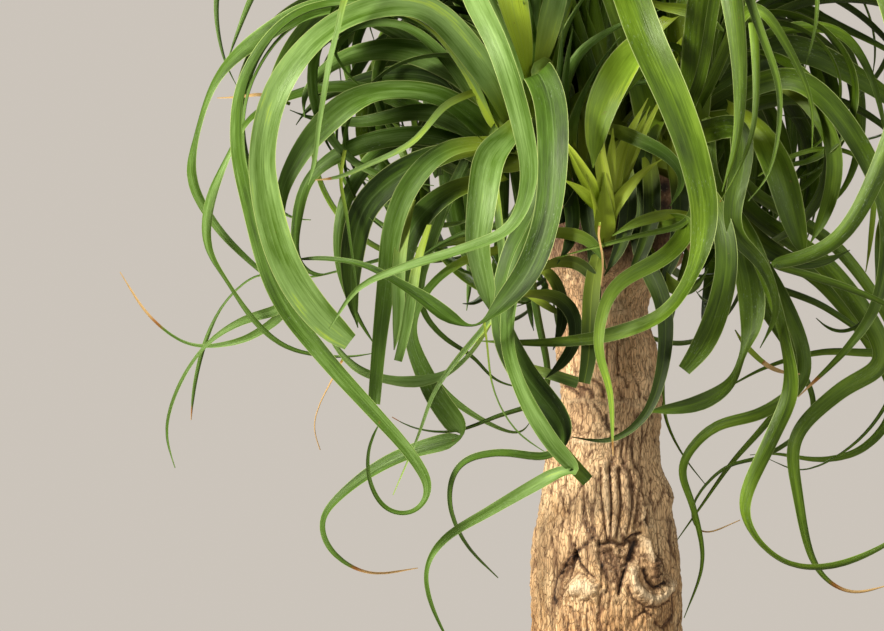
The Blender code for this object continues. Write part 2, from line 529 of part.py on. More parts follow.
def make_soil():
    """Fills the pot to SOIL_LEVEL, with a lumpy top and a plain hole that the trunk stands in."""
    def lumps(angle, _):
        rise = math.sin(7 * angle + 1) + 0.7 * math.sin(13 * angle) + 0.5 * math.sin(19 * angle + 2)
        return 0.0, SOIL_LUMP * rise / 2.2

    def finer_lumps(angle, _):
        return 0.0, SOIL_LUMP * (math.sin(11 * angle + 2) + math.sin(5 * angle)) / 2

    bottom = POT_FLOOR + SEAT_GAP
    hole = [(radius + SEAT_GAP, height) for height, _, radius in TRUNK_SECTIONS[:3]]
    hole[0] = (hole[0][0], hole[0][1] - SEAT_GAP)
    outer = pot_inner_radius(SOIL_LEVEL) - SEAT_GAP
    inner = hole[-1][0]
    rings = [
        [Vector((0, 0, bottom))],
        level_ring(pot_inner_radius(bottom) - SEAT_GAP, bottom, SIDES),
        level_ring(outer - 0.0006, SOIL_LEVEL - 0.004, SIDES),
        level_ring(outer - 0.010, SOIL_LEVEL + 0.002, SIDES, relief=lumps),
        level_ring((outer + inner) / 2, SOIL_LEVEL + 0.004, SIDES, relief=finer_lumps),
        level_ring(inner + 0.008, SOIL_LEVEL + 0.001, SIDES, relief=lumps),
        level_ring(inner, SOIL_LEVEL, SIDES),
        level_ring(hole[1][0], hole[1][1], SIDES),
        level_ring(hole[0][0], hole[0][1], SIDES),
        [Vector((0, 0, hole[0][1]))]]
    return turned("soil", rings, SIDES)


def curve_through(rows, per_span=10):
    """A smooth curve through rows of numbers, the first three of which are a point."""
    rows = np.array(rows, float)
    steps = np.sqrt(np.linalg.norm(np.diff(rows[:, :3], axis=0), axis=1))
    knots = np.concatenate([[0], np.cumsum(steps)])
    slopes = np.gradient(rows, knots, axis=0)
    curve = [rows[0]]
    for span, step in enumerate(steps):
        for s in np.linspace(0, 1, per_span + 1)[1:]:
            curve.append(
                (1 + 2 * s) * (1 - s) ** 2 * rows[span] + s * (1 - s) ** 2 * step * slopes[span]
                + s * s * (3 - 2 * s) * rows[span + 1] + s * s * (s - 1) * step * slopes[span + 1])
    return np.array(curve)


def unit(vectors):
    return vectors / np.maximum(np.linalg.norm(vectors, axis=-1, keepdims=True), 1e-9)


def distance_along(points):
    return np.concatenate([[0], np.cumsum(np.linalg.norm(np.diff(points, axis=0), axis=1))])


def strap_width(along, widest):
    """The real width of a strap leaf: full over its first half, then a long taper to the tip."""
    taper = np.clip((along - 0.42) / 0.58, 0, 1)
    return widest * (1 - 0.93 * taper ** 1.35)


def turned_across(points, shown, widest):
    """The direction of the blade's width at each point, so that it shows the given width to the eye."""
    tangents = unit(np.gradient(points, axis=0))
    along = distance_along(points)
    bending = np.gradient(tangents, np.maximum(along, np.arange(len(along)) * 1e-6), axis=0)
    full = np.maximum(strap_width(along / along[-1], widest), 0.0012)
    across = []
    for tangent, bend, seen, width in zip(tangents, bending, shown, full):
        side = np.cross(tangent, (0, 1, 0))
        if across and np.linalg.norm(side) < 0.25:
            side = across[-1] - tangent * np.dot(across[-1], tangent)
        side = side / np.linalg.norm(side)
        if across and np.dot(side, across[-1]) < 0:
            side = -side
        seen = min(seen, 1.1 / max(abs(np.dot(bend, side)), 1e-6), width)
        turn = math.acos(max(seen / width, 0.12))
        across.append(math.cos(turn) * side + math.sin(turn) * np.cross(tangent, side))
    across = np.array(across)
    kernel = np.ones(7) / 7
    padded = np.pad(across, ((3, 3), (0, 0)), mode="edge")
    across = np.stack([np.convolve(padded[:, axis], kernel, mode="valid") for axis in range(3)], axis=1)
    across = unit(across - tangents * np.sum(across * tangents, axis=1, keepdims=True))
    return across, full


def places_to_cut(points):
    """The curve's points that a coarse copy keeps: closer together where it bends."""
    tangents = unit(np.gradient(points, axis=0))
    bends = np.arccos(np.clip(np.sum(tangents[1:] * tangents[:-1], axis=1), -1, 1))
    lengths = np.linalg.norm(np.diff(points, axis=0), axis=1)
    effort = np.concatenate([[0], np.cumsum(lengths / LONGEST_STEP + bends / BEND_PER_STEP)])
    count = max(4, math.ceil(effort[-1]))
    wanted = np.linspace(0, effort[-1], count + 1)
    return sorted({int(round(place)) for place in np.interp(wanted, effort, np.arange(len(points)))})


def blade(points, across, widths, thickness):
    """Vertices and triangles of a thin strap, cut into triangles alike on both faces."""
    tangents = unit(np.gradient(points, axis=0))
    faces_out = unit(np.cross(tangents, across))
    keep = places_to_cut(points)
    vertices = []
    for place in keep:
        half = max(widths[place], BLADE_TIP) / 2
        for side, face in ((-1, -1), (1, -1), (1, 1), (-1, 1)):
            vertices.append(points[place] + side * half * across[place] + face * thickness / 2 * faces_out[place])
    triangles = [(0, 2, 1), (0, 3, 2)]
    for section in range(len(keep) - 1):
        low = 4 * section
        high = low + 4
        triangles += [
            (low, low + 1, high), (low + 1, high + 1, high),
            (low + 3, high + 3, low + 2), (low + 2, high + 3, high + 2),
            (low + 1, low + 2, high + 1), (low + 2, high + 2, high + 1),
            (low, high, low + 3), (low + 3, high, high + 3)]
    last = 4 * (len(keep) - 1)
    triangles += [(last, last + 1, last + 2), (last, last + 2, last + 3)]
    return vertices, triangles


def tree_of(vertices, triangles, beyond=None):
    """A search tree of triangles, or of those further than ROOT_ZONE from a point."""
    if beyond is not None:
        triangles = [t for t in triangles if (Vector(vertices[t[0]]) - beyond).length > ROOT_ZONE]
    return BVHTree.FromPolygons([tuple(v) for v in vertices], triangles, all_triangles=True) if triangles else None


def crosses_itself(vertices, triangles):
    tree = tree_of(vertices, triangles)
    return any(abs(a - b) > 20 for a, b in tree.overlap(tree))


def root_on_stem(name, first, share):
    """The point inside the crown's stem that a leaf grows from."""
    _, foot, tip = stem_points(name)
    place = foot.lerp(tip, share)
    outward = ((first - place) * Vector((1, 1, 0))).normalized()
    return place + outward * ROOT_OFFSET * STEMS[name]["radius"]


def slim_root(points, widths, name):
    """The widths of a leaf whose foot is no wider than its stem can hold."""
    foot = ROOT_WIDTH * STEMS[name]["radius"]
    share = np.clip(distance_along(points) / ROOT_ZONE, 0, 1)
    return np.minimum(widths, foot + (max(widths) - foot) * share)


def routed_leaf(name, nears, route, share, shift, tilt):
    """The points, width directions and widths of a leaf that follows a route, moved along the line of sight."""
    pixels = np.array(route, float)
    travelled = distance_along(pixels[:, :2])
    travelled /= travelled[-1]
    near = np.interp(travelled, np.linspace(0, 1, len(nears)), nears) / 1000
    near += shift * np.minimum(1, travelled / 0.3) + tilt * travelled
    rows = [[*sighted(across, down, near[i]), width * PIXEL] for i, (across, down, width) in enumerate(route)]
    first = Vector(rows[0][:3])
    root = root_on_stem(name, first, share)
    if first.z < root.z - DROP_NEEDS_ELBOW:
        outward = ((first - root) * Vector((1, 1, 0))).normalized()
        rows.insert(0, [*(root + outward * ELBOW_REACH + Vector((0, 0, ELBOW_RISE))), rows[0][3]])
    rows.insert(0, [*root, rows[0][3]])
    curve = curve_through(rows, 8)
    widest = max(row[3] for row in rows)
    points = curve[:, :3]
    across, widths = turned_across(points, curve[:, 3], widest)
    return points, across, slim_root(points, widths, name)


def shape_of(obj):
    """The object's points and triangles."""
    obj.data.calc_loop_triangles()
    return [v.co.copy() for v in obj.data.vertices], [tuple(t.vertices) for t in obj.data.loop_triangles]


class Plant:
    """The leaves placed so far, with a search tree for each node, so that a new one can be kept clear."""

    def __init__(self, trunk, stems):
        self.leaves = {name: ([], []) for name in stems}
        self.solids = {"trunk": tree_of(*shape_of(trunk))}
        self.solids.update({name: tree_of(*shape_of(stem)) for name, stem in stems.items()})
        self.trees = {}
        self.count = 0

    def crossings(self, name, points, across, widths):
        """How often a leaf would cross other nodes, and leaves of its own node away from the stem."""
        vertices, triangles = blade(points, across, widths + BLADE_GAP, BLADE_THICKNESS + BLADE_GAP)
        tree = tree_of(vertices, triangles)
        nodes = list(self.solids.items()) + list(self.trees.items())
        others = sum(len(tree.overlap(other)) for key, other in nodes if key != name)
        others += 100 if crosses_itself(vertices, triangles) else 0
        own = 0
        if name in self.trees:
            outer = tree_of(vertices, triangles, Vector(points[0]))
            own = len(outer.overlap(self.trees[name])) if outer else 0
        return others, own

    def add(self, name, points, across, widths):
        vertices, triangles = blade(points, across, widths, BLADE_THICKNESS)
        placed, faces = self.leaves[name]
        offset = len(placed)
        placed.extend(vertices)
        faces.extend(tuple(corner + offset for corner in t) for t in triangles)
        self.trees[name] = tree_of(placed, faces)
        self.count += 1
        return vertices, triangles


def best_place(plant, name, nears, route):
    """The leaf with the smallest move along the line of sight that is clear of the others."""
    toward = 1 if max(nears) >= 0 else -1
    best = None
    for size in SHIFTS:
        signs = ((toward, 0), (-toward, 0), (0, toward), (0, -toward)) if size else ((0, 0),)
        for shift, tilt in signs:
            for share in ROOT_SHARES:
                leaf = routed_leaf(name, nears, route, share, shift * size, tilt * size)
                others, own = plant.crossings(name, *leaf)
                score = (others > 0, own, others)
                if best is None or score < best[0]:
                    best = (score, leaf)
                if others == 0 and own == 0:
                    return leaf, True
    return best[1], not best[0][0]


def spare_leaf(draw, name, directions):
    """A leaf that rises from its stem, arches over, hangs and curls inward, drawn at random."""
    _, foot, tip = stem_points(name)
    heading = math.radians(draw.uniform(*directions))
    outward = Vector((math.cos(heading), math.sin(heading), 0))
    root = foot.lerp(tip, draw.uniform(LOWEST_ROOT, HIGHEST_ROOT)) + outward * ROOT_OFFSET * STEMS[name]["radius"]
    rise = math.radians(draw.uniform(35, 84))
    turn = math.radians(draw.uniform(150, 290))
    swing = math.radians(draw.uniform(-70, 70))
    early = draw.uniform(0.9, 1.7)
    length = draw.uniform(0.36, 0.66)
    twist = math.radians(draw.uniform(-70, 70))
    widest = draw.uniform(0.012, 0.021)
    steps = 44
    points = [np.array(root)]
    across = []
    for step in range(steps + 1):
        s = step / steps
        pitch = rise - turn * s ** early
        yaw = heading + swing * s * s
        forward = np.array((math.cos(pitch) * math.cos(yaw), math.cos(pitch) * math.sin(yaw), math.sin(pitch)))
        level = np.array((-math.sin(yaw), math.cos(yaw), 0))
        lean = twist * s * s
        across.append(math.cos(lean) * level + math.sin(lean) * np.cross(forward, level))
        if step < steps:
            points.append(points[-1] + forward * length / steps)
    points = np.array(points)
    widths = np.maximum(strap_width(np.linspace(0, 1, steps + 1), widest), 0.0012)
    return points, unit(np.array(across)), slim_root(points, widths, name)


def within(points, middle, size):
    return np.sum(((points - np.array(middle)) / np.array(size)) ** 2, axis=1) < 1


def keeps_to_head(points):
    """True for a leaf inside the head's outline that leaves the view's open background free."""
    seen = (points[:, 2] < VIEW_TOP) & (points[:, 0] < VIEW_RIGHT)
    open_ground = seen & ~within(points, SEEN_HEAD_MIDDLE, SEEN_HEAD_SIZE)
    before_trunk = seen & (points[:, 1] < -0.045)
    return bool(within(points, HEAD_MIDDLE, HEAD_SIZE).all() and not open_ground.any() and not before_trunk.any())


def add_spare_leaves(plant, collections):
    draw = random.Random(SPARE_SEED)
    for name, wanted in SPARE_LEAVES.items():
        for _ in range(wanted):
            best = None
            for _ in range(SPARE_TRIES):
                leaf = spare_leaf(draw, name, SPARE_DIRECTIONS[name])
                if not keeps_to_head(leaf[0]):
                    continue
                others, own = plant.crossings(name, *leaf)
                if others == 0 and (best is None or own < best[0]):
                    best = (own, leaf)
                if best and best[0] == 0:
                    break
            if best:
                add_object("leaf", *plant.add(name, *best[1]), collections[name])


def make_crowns(trunk):
    stems = {}
    for name, stem in STEMS.items():
        _, foot, tip = stem_points(name)
        radius = stem["radius"]
        radii = [radius, radius, 0.92 * radius, 0.7 * radius, 0.45 * radius]
        stems[name] = stem_body(name, foot, tip, radii, tip - foot, round_end=True)
    plant = Plant(trunk, stems)
    collections = {name: new_collection(name + " leaves") for name in STEMS}
    for name in ("front_shoot", "crown_left", "crown_right"):
        for leaf_name, (nears, route) in ROUTES[name].items():
            leaf, clear = best_place(plant, name, nears, route)
            if not clear:
                print("no clear place for", leaf_name)
                continue
            add_object(leaf_name, *plant.add(name, *leaf), collections[name])
    add_spare_leaves(plant, collections)
    print("leaves placed:", plant.count)
    for name, stem in stems.items():
        join_with(stem, collections[name], "MANIFOLD")
        keep_main_body(stem)
    return stems


def main():
    clear_scene()
    trunk = make_trunk()
    pieces = {"pot": make_pot(), "soil": make_soil(), "trunk": trunk}
    pieces.update(make_crowns(trunk))
    for name, piece in pieces.items():
        piece.data.materials.clear()
        piece.data.materials.append(finish_of(name))
        piece.data.shade_smooth()
        piece.data.set_sharp_from_angle(angle=math.radians(35))
        print(name, sum(len(face.vertices) - 2 for face in piece.data.polygons), "triangles")


main()
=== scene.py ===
# %% [markdown]
# # A potted ponytail palm
# The plant is a corky trunk with three crowns of long strap leaves and one young shoot on its front. The
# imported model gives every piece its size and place. This script keeps that frame and makes what the eye sees:
# fine leaves with a channel along the middle, cracked bark, loose soil and a plain unglazed pot.

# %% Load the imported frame
import math
import random

import bpy
import numpy as np
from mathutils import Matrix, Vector, noise
from mathutils.bvhtree import BVHTree


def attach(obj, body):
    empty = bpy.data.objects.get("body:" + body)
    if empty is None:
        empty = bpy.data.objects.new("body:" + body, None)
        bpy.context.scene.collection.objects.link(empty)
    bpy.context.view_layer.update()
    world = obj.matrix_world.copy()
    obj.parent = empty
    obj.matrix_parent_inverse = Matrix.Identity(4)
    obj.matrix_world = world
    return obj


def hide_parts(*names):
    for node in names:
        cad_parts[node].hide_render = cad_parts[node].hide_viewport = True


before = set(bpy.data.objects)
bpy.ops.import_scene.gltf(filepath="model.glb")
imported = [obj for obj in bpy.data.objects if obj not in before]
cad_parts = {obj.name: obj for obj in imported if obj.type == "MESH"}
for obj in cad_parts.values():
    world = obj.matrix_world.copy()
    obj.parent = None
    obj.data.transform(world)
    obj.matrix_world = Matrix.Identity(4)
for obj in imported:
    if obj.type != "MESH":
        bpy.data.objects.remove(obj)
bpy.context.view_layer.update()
print("nodes:", sorted(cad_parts))

# %% [markdown]
# The photograph is taken level with the head of the plant. One of its pixels is 0.72 mm wide in the plane of
# the trunk. With that scale and the eye's distance, a place in the picture and a depth give a point in space,
# so the same few numbers place the camera and, later, every leaf.

# %% The reference view and its camera
PICTURE_WIDTH = 884
PICTURE_MIDDLE = (442, 315.5)
PIXEL = 0.00072
EYE = Vector((-0.1195, -2.2, 0.712))
SENSOR = 36
MILLIMETRE = 0.001

camera_data = bpy.data.cameras.new("camera")
camera_data.sensor_width = SENSOR
camera_data.lens = SENSOR * -EYE.y / (PICTURE_WIDTH * PIXEL)
camera = bpy.data.objects.new("camera", camera_data)
camera.location = EYE
camera.rotation_euler = (math.radians(90), 0, 0)
bpy.context.scene.collection.objects.link(camera)
bpy.context.scene.camera = camera
print("lens:", round(camera_data.lens, 1), "mm")


def sighted(across, down, near):
    """The point at a place of the picture, near metres before the trunk's axis."""
    scale = PIXEL * (-EYE.y - near) / -EYE.y
    sideways = (across - PICTURE_MIDDLE[0]) * scale
    downward = (down - PICTURE_MIDDLE[1]) * scale
    return Vector((EYE.x + sideways, -near, EYE.z - downward))


# %% [markdown]
# Every finish here is procedural. Shader maths reads best as plain expressions, so one small class wraps a
# node socket. Adding or multiplying two of these wires adds the Math node that does it, and any other node
# comes from the method `node`.

# %% Wires: shader maths as expressions


def paint(red, green, blue):
    """A colour given as it is seen, from 0 to 255, as the linear colour that a shader takes."""
    seen = [c / 255 for c in (red, green, blue)]
    return tuple(((c + 0.055) / 1.055) ** 2.4 if c > 10 / 255 else c / 12.92 for c in seen)


class Wire:
    """A socket in a node tree. Sums, differences and products of wires add their Math nodes."""

    def __init__(self, tree, socket=None):
        self.tree = tree
        self.socket = socket

    def node(self, kind, settings=None, inputs=None, output=0):
        """One output of a new node: its settings come first, then the values or wires of its sockets."""
        made = self.tree.nodes.new("ShaderNode" + kind)
        for name, value in (settings or {}).items():
            if name == "stops":
                ramp = made.color_ramp.elements
                while len(ramp) < len(value):
                    ramp.new(1)
                for element, (place, colour) in zip(ramp, value):
                    element.position = place
                    element.color = (*paint(*colour), 1)
            else:
                setattr(made, name, value)
        for name, value in (inputs or {}).items():
            if isinstance(value, Wire):
                self.tree.links.new(value.socket, made.inputs[name])
            else:
                made.inputs[name].default_value = value
        return Wire(self.tree, made.outputs[output])

    def math(self, operation, *values):
        return self.node("Math", {"operation": operation}, dict(enumerate(values)))

    def __add__(self, other):
        return self.math("ADD", self, other)

    def __radd__(self, other):
        return self.math("ADD", other, self)

    def __sub__(self, other):
        return self.math("SUBTRACT", self, other)

    def __rsub__(self, other):
        return self.math("SUBTRACT", other, self)

    def __mul__(self, other):
        return self.math("MULTIPLY", self, other)

    def __rmul__(self, other):
        return self.math("MULTIPLY", other, self)

    def __abs__(self):
        return self.math("ABSOLUTE", self)

    def parts(self):
        """The three numbers of a vector or colour, each as a wire."""
        made = self.node("SeparateXYZ", {}, {0: self}).socket.node
        return [Wire(self.tree, socket) for socket in made.outputs]

    def within(self, low, high):
        """0 below low, 1 above high and smooth between. With low above high it falls instead."""
        return self.node("MapRange", {"interpolation_type": "SMOOTHSTEP"},
                         {"Value": self, "From Min": low, "From Max": high})

    def blend(self, first, second):
        """The colour first where this wire is 0 and second where it is 1, each a wire or as it is seen."""
        colours = [(*paint(*c), 1) if isinstance(c, tuple) else c for c in (first, second)]
        return self.node("Mix", {"data_type": "RGBA"}, {0: self, 6: colours[0], 7: colours[1]}, output=2)

    def stained(self, *stains):
        """This colour under stains, each a wire that tells where it lies and a colour as it is seen."""
        colour = self
        for mask, stain in stains:
            colour = mask.blend(colour, stain)
        return colour

    def ramp(self, *stops):
        """A colour read at this wire's value from stops, each a place and a colour as it is seen."""
        return self.node("ValToRGB", {"stops": stops}, {0: self})

    def noise(self, place, scale, detail=3, roughness=0.55, stretch=None):
        """Smooth noise at a place, with scale in spots a metre, or stretched along the axes."""
        if stretch:
            place = self.node("VectorMath", {"operation": "MULTIPLY"}, {0: place, 1: stretch})
        return self.node("TexNoise", {},
                         {"Vector": place, "Scale": scale, "Detail": detail, "Roughness": roughness})


def feed(shader, socket, wire):
    wire.tree.links.new(wire.socket, shader.inputs[socket])


def bumped(shader, height, distance, strength):
    """Relief of a height drawn with the normals alone, distance in metres."""
    feed(shader, "Normal", height.node("Bump", {}, {"Height": height, "Distance": distance,
                                                    "Strength": strength}))


def new_finish(name, roughness, **constants):
    """A material, a wire to start its shader maths from, and its Principled shader."""
    material = bpy.data.materials.new(name)
    material.use_nodes = True
    shader = material.node_tree.nodes["Principled BSDF"]
    shader.inputs["Roughness"].default_value = roughness
    for socket, value in constants.items():
        shader.inputs[socket.replace("_", " ")].default_value = value
    return material, Wire(material.node_tree), shader


print("a mid grey of 128 as a shader takes it:", round(paint(128, 128, 128)[0], 3))

# %% [markdown]
# The studio is an even warm grey surround and three soft lights: a large key lamp high on the left, a weaker
# fill on the right and one behind that edges the leaves. A white studio would flatten the leaves, so the
# surround lights them with less than it shows: its strength is 1 for the rays that the camera sees and less
# for the others.

# %% Surround and lights
SURROUND = (0.600, 0.552, 0.494)
SURROUND_LIGHT = 0.18
LAMPS = {
    "key": {"at": (-2.15, -1.55, 2.10), "size": 0.9, "power": 195, "colour": (1.0, 0.975, 0.94)},
    "fill": {"at": (1.4, -2.3, 1.5), "size": 1.6, "power": 26, "colour": (0.98, 0.99, 1.0)},
    "edge": {"at": (0.6, 1.9, 2.3), "size": 1.2, "power": 34, "colour": (1.0, 0.98, 0.95)},
}
LAMP_TARGET = Vector((0.0, 0.0, 0.75))


def lamp(name, at, size, power, colour):
    """A round soft lamp that points at the plant."""
    data = bpy.data.lights.new(name, "AREA")
    data.shape = "DISK"
    data.size = size
    data.energy = power
    data.color = colour
    obj = bpy.data.objects.new(name, data)
    obj.location = at
    obj.rotation_euler = (LAMP_TARGET - Vector(at)).to_track_quat("-Z", "Y").to_euler()
    bpy.context.scene.collection.objects.link(obj)


for name, settings in LAMPS.items():
    lamp(name, **settings)

world = bpy.data.worlds.new("surround")
world.use_nodes = True
surround = world.node_tree.nodes["Background"]
surround.inputs["Color"].default_value = (*SURROUND, 1)
seen_ray = Wire(world.node_tree).node("LightPath", output="Is Camera Ray")
feed(surround, "Strength", SURROUND_LIGHT + seen_ray * (1 - SURROUND_LIGHT))
bpy.context.scene.world = world
bpy.context.scene.view_settings.view_transform = "Standard"
print("lamps:", list(LAMPS))

# %% [markdown]
# ## The leaves
# A ponytail palm's leaf is a strap: about two centimetres wide, half a metre long or more, with a shallow
# channel along its middle. It leaves the stem upright, arches over, hangs and curls at its tip. A curl can't
# be guessed, so each leaf that shows well follows a given route. A route point is a place in the
# picture with the width that shows there. The numbers before the points tell how near the leaf lies, in
# millimetres before the trunk's axis, at even distances along it.

# %% Routes of the leaves
ROUTES = {}
ROUTES["crown_left"] = {
    "big_left_arch": ((40, 70, 95, 110, 105, 92, 60), (520, 140, 26), (480, 65, 32), (420, 7, 28),
        (340, 22, 24), (280, 85, 25), (262, 155, 24), (274, 235, 33), (312, 300, 32), (350, 336, 20),
        (340, 350, 14), (365, 354, 12), (388, 349, 8)),
    "long_left_spiral": ((20, 60, 80, 78, 72, 74, 90, 94, 75), (515, 150, 14), (470, 60, 16), (400, 10, 14),
        (300, 14, 10), (248, 75, 10), (239, 140, 14), (252, 208, 16), (280, 297, 22), (322, 354, 26),
        (372, 410, 25), (413, 457, 18), (430, 490, 7), (415, 513, 4), (387, 511, 4), (369, 481, 4),
        (369, 445, 3), (383, 417, 2)),
    "far_left_arch": ((-10, -5, 8, 14, 20, 12, -6), (510, 150, 18), (440, 60, 20), (330, 6, 20),
        (258, 38, 18), (218, 75, 10), (197, 130, 6), (191, 178, 12), (215, 225, 11), (256, 267, 10),
        (310, 310, 6)),
    "left_s_curve": ((-30, -48, -10, 34, 22, 6, -8), (505, 160, 16), (420, 110, 16), (340, 85, 14),
        (255, 112, 8), (228, 153, 6), (209, 203, 13), (207, 248, 9), (226, 281, 3), (254, 321, 7),
        (288, 348, 10), (345, 357, 9), (380, 352, 7)),
    "top_left_far": ((-40, -60, -50, -30, -20), (500, 110, 16), (430, 0, 16), (340, -60, 16), (260, -60, 16),
        (222, -25, 14), (216, 10, 13), (225, 62, 10), (238, 88, 4)),
    "top_left_near": ((-20, -45, -45, -38, -34), (505, 90, 16), (440, -30, 18), (350, -80, 20),
        (285, -55, 22), (255, -10, 22), (243, 18, 20), (227, 62, 6)),
    "light_strip": ((40, 62, 70), (505, 130, 15), (470, 72, 15), (435, 30, 15), (410, 15, 14), (385, 12, 6)),
    "inner_top": ((10, 0, 0, 2, 8), (515, 130, 22), (470, 78, 24), (400, 49, 25), (335, 62, 24),
        (303, 97, 14), (305, 118, 6)),
    "inner_dark": ((-15, -32, -32, -25), (512, 150, 20), (435, 78, 22), (362, 80, 20), (308, 108, 12),
        (296, 125, 6)),
    "broad_inner_arch": ((30, 38, 42, 50, 52, 45), (510, 150, 20), (440, 98, 18), (368, 95, 18),
        (318, 130, 30), (286, 180, 28), (280, 205, 20), (281, 228, 14), (290, 255, 8)),
    "inner_low": ((0, -5, -8, -15), (508, 150, 14), (430, 112, 15), (360, 122, 15), (310, 118, 8),
        (290, 110, 4)),
    "curled_inner": ((15, 13, 20, 16, 2, -5), (510, 160, 14), (430, 135, 16), (355, 146, 15), (310, 175, 8),
        (297, 218, 9), (298, 263, 6), (320, 277, 4), (336, 271, 3)),
    "inner_hook": ((25, 25, 22, 12, 2), (512, 165, 16), (440, 155, 20), (390, 178, 20), (360, 210, 22),
        (354, 262, 20), (372, 318, 8)),
    "hanging_hook": ((50, 58, 60, 56, 50, 46), (515, 170, 14), (455, 143, 15), (416, 175, 14), (396, 228, 14),
        (388, 290, 16), (377, 360, 14), (372, 400, 8)),
    "olive_hook": ((20, 24, 25, 20), (515, 185, 16), (455, 192, 16), (418, 225, 20), (411, 272, 14),
        (415, 300, 8)),
    "dark_hook": ((5, 6, 10), (520, 215, 10), (460, 234, 9), (415, 262, 6), (405, 280, 3)),
    "c_shape": ((-10, -20, -5, 5, 8, 0), (505, 160, 14), (400, 140, 14), (350, 190, 14), (338, 252, 13),
        (353, 308, 14), (378, 350, 8)),
    "front_long": ((30, 85, 170, 178, 166, 136), (525, 70, 26), (505, -20, 24), (475, -85, 22),
        (470, -20, 21), (500, 48, 21), (522, 122, 20), (530, 180, 16), (512, 228, 10), (462, 250, 9),
        (405, 267, 8), (358, 288, 5), (329, 329, 2)),
    "front_wide": ((40, 105, 133, 138, 128, 116, 108, 96), (545, 130, 24), (536, 90, 28), (537, 70, 32),
        (549, 95, 34), (554, 155, 33), (549, 215, 29), (529, 272, 28), (492, 315, 22), (458, 319, 12),
        (418, 293, 11), (364, 265, 9), (310, 257, 5), (290, 260, 3)),
    "front_hanging": ((40, 108, 124, 123, 116), (530, 150, 26), (500, 132, 33), (486, 158, 34),
        (483, 188, 33), (479, 218, 30), (477, 245, 26), (487, 293, 19), (491, 312, 12)),
    "dark_front": ((70, 88, 90, 95, 97, 80, 72, 66, 60), (540, 200, 20), (514, 250, 20), (501, 312, 20),
        (520, 368, 30), (557, 415, 28), (566, 435, 18), (562, 449, 8), (548, 459, 8), (498, 454, 7),
        (460, 465, 5), (450, 500, 3.5), (465, 542, 3), (498, 578, 1.5)),
    "bright_front": ((85, 104, 109, 114, 111, 88, 76, 64, 54), (545, 205, 16), (518, 270, 16), (508, 340, 14),
        (526, 398, 15), (555, 447, 20), (580, 474, 12), (566, 470, 10), (540, 482, 15), (488, 512, 13),
        (444, 539, 9), (427, 566, 4), (429, 598, 5), (455, 655, 2)),
    "brown_tipped": ((-20, 5, 22, 22, 6, -2, -7, -10), (500, 250, 14), (450, 270, 14), (402, 330, 14),
        (417, 372, 24), (447, 409, 28), (465, 438, 8), (425, 449, 14), (370, 474, 12), (322, 520, 4),
        (331, 550, 5), (368, 573, 3), (418, 568, 1.5)),
    "thin_drop": ((40, 46, 48, 46), (500, 300, 8), (458, 358, 6), (434, 392, 5), (419, 434, 4),
        (393, 495, 1.5)),
    "low_bow": ((10, 20, 26, 22, 8), (500, 300, 8), (478, 345, 8), (444, 375, 10), (392, 382, 11),
        (350, 364, 11), (326, 332, 5)),
    "dark_cup": ((-30, -30, -30), (410, 330, 8), (440, 388, 10), (498, 428, 10), (524, 434, 6),
        (530, 422, 4)),
    "orange_tipped": ((10, 4, 4, 0), (535, 300, 9), (545, 395, 9), (497, 416, 9), (452, 432, 7),
        (410, 427, 4), (392, 417, 2)),
    "low_wave": ((-10, -15, -20, -25), (420, 300, 8), (443, 337, 9), (473, 356, 7), (496, 381, 9),
        (540, 390, 6)),
    "left_drop": ((-40, -60, -45, -35, -28, -24, -20), (500, 200, 14), (430, 200, 14), (370, 240, 13),
        (292, 312, 11), (246, 319, 7), (209, 342, 4), (179, 385, 3), (166, 432, 3), (175, 468, 1.5)),
    "left_whisker": ((-60, -80, -68, -58, -50, -44), (500, 210, 14), (420, 230, 14), (350, 270, 12),
        (285, 320, 9), (240, 341, 6), (190, 345, 3), (150, 317, 3), (120, 272, 1.5)),
    "left_thread": ((-70, -100, -90, -76, -68, -64), (500, 190, 12), (400, 190, 12), (320, 220, 10),
        (258, 274, 5), (224, 303, 4), (205, 342, 5), (194, 388, 4), (191, 420, 2)),
    "trunk_loop": ((60, 66, 70, 60), (500, 290, 8), (535, 298, 9), (564, 294, 10), (576, 327, 10),
        (551, 372, 6)),
    "heart_left": ((30, 30, 20), (530, 70, 16), (518, 0, 18), (496, -90, 14), (455, -140, 6)),
    "heart_middle": ((34, 44, 60), (534, 60, 14), (536, -20, 16), (548, -110, 12), (585, -165, 5)),
    "heart_right": ((26, 10, -10), (545, 65, 18), (558, 20, 20), (590, -60, 16), (640, -110, 6)),
    "centre_arch": ((20, 40, 50, 55), (560, 110, 10), (578, 54, 10), (628, 21, 9), (660, 10, 6)),
    "centre_bow": ((40, 66, 76, 72), (590, 125, 10), (628, 138, 14), (672, 158, 14), (684, 176, 8),
        (660, 212, 4)),
    "centre_low": ((20, 38, 42), (560, 125, 12), (588, 94, 13), (640, 82, 12), (665, 82, 8)),
}
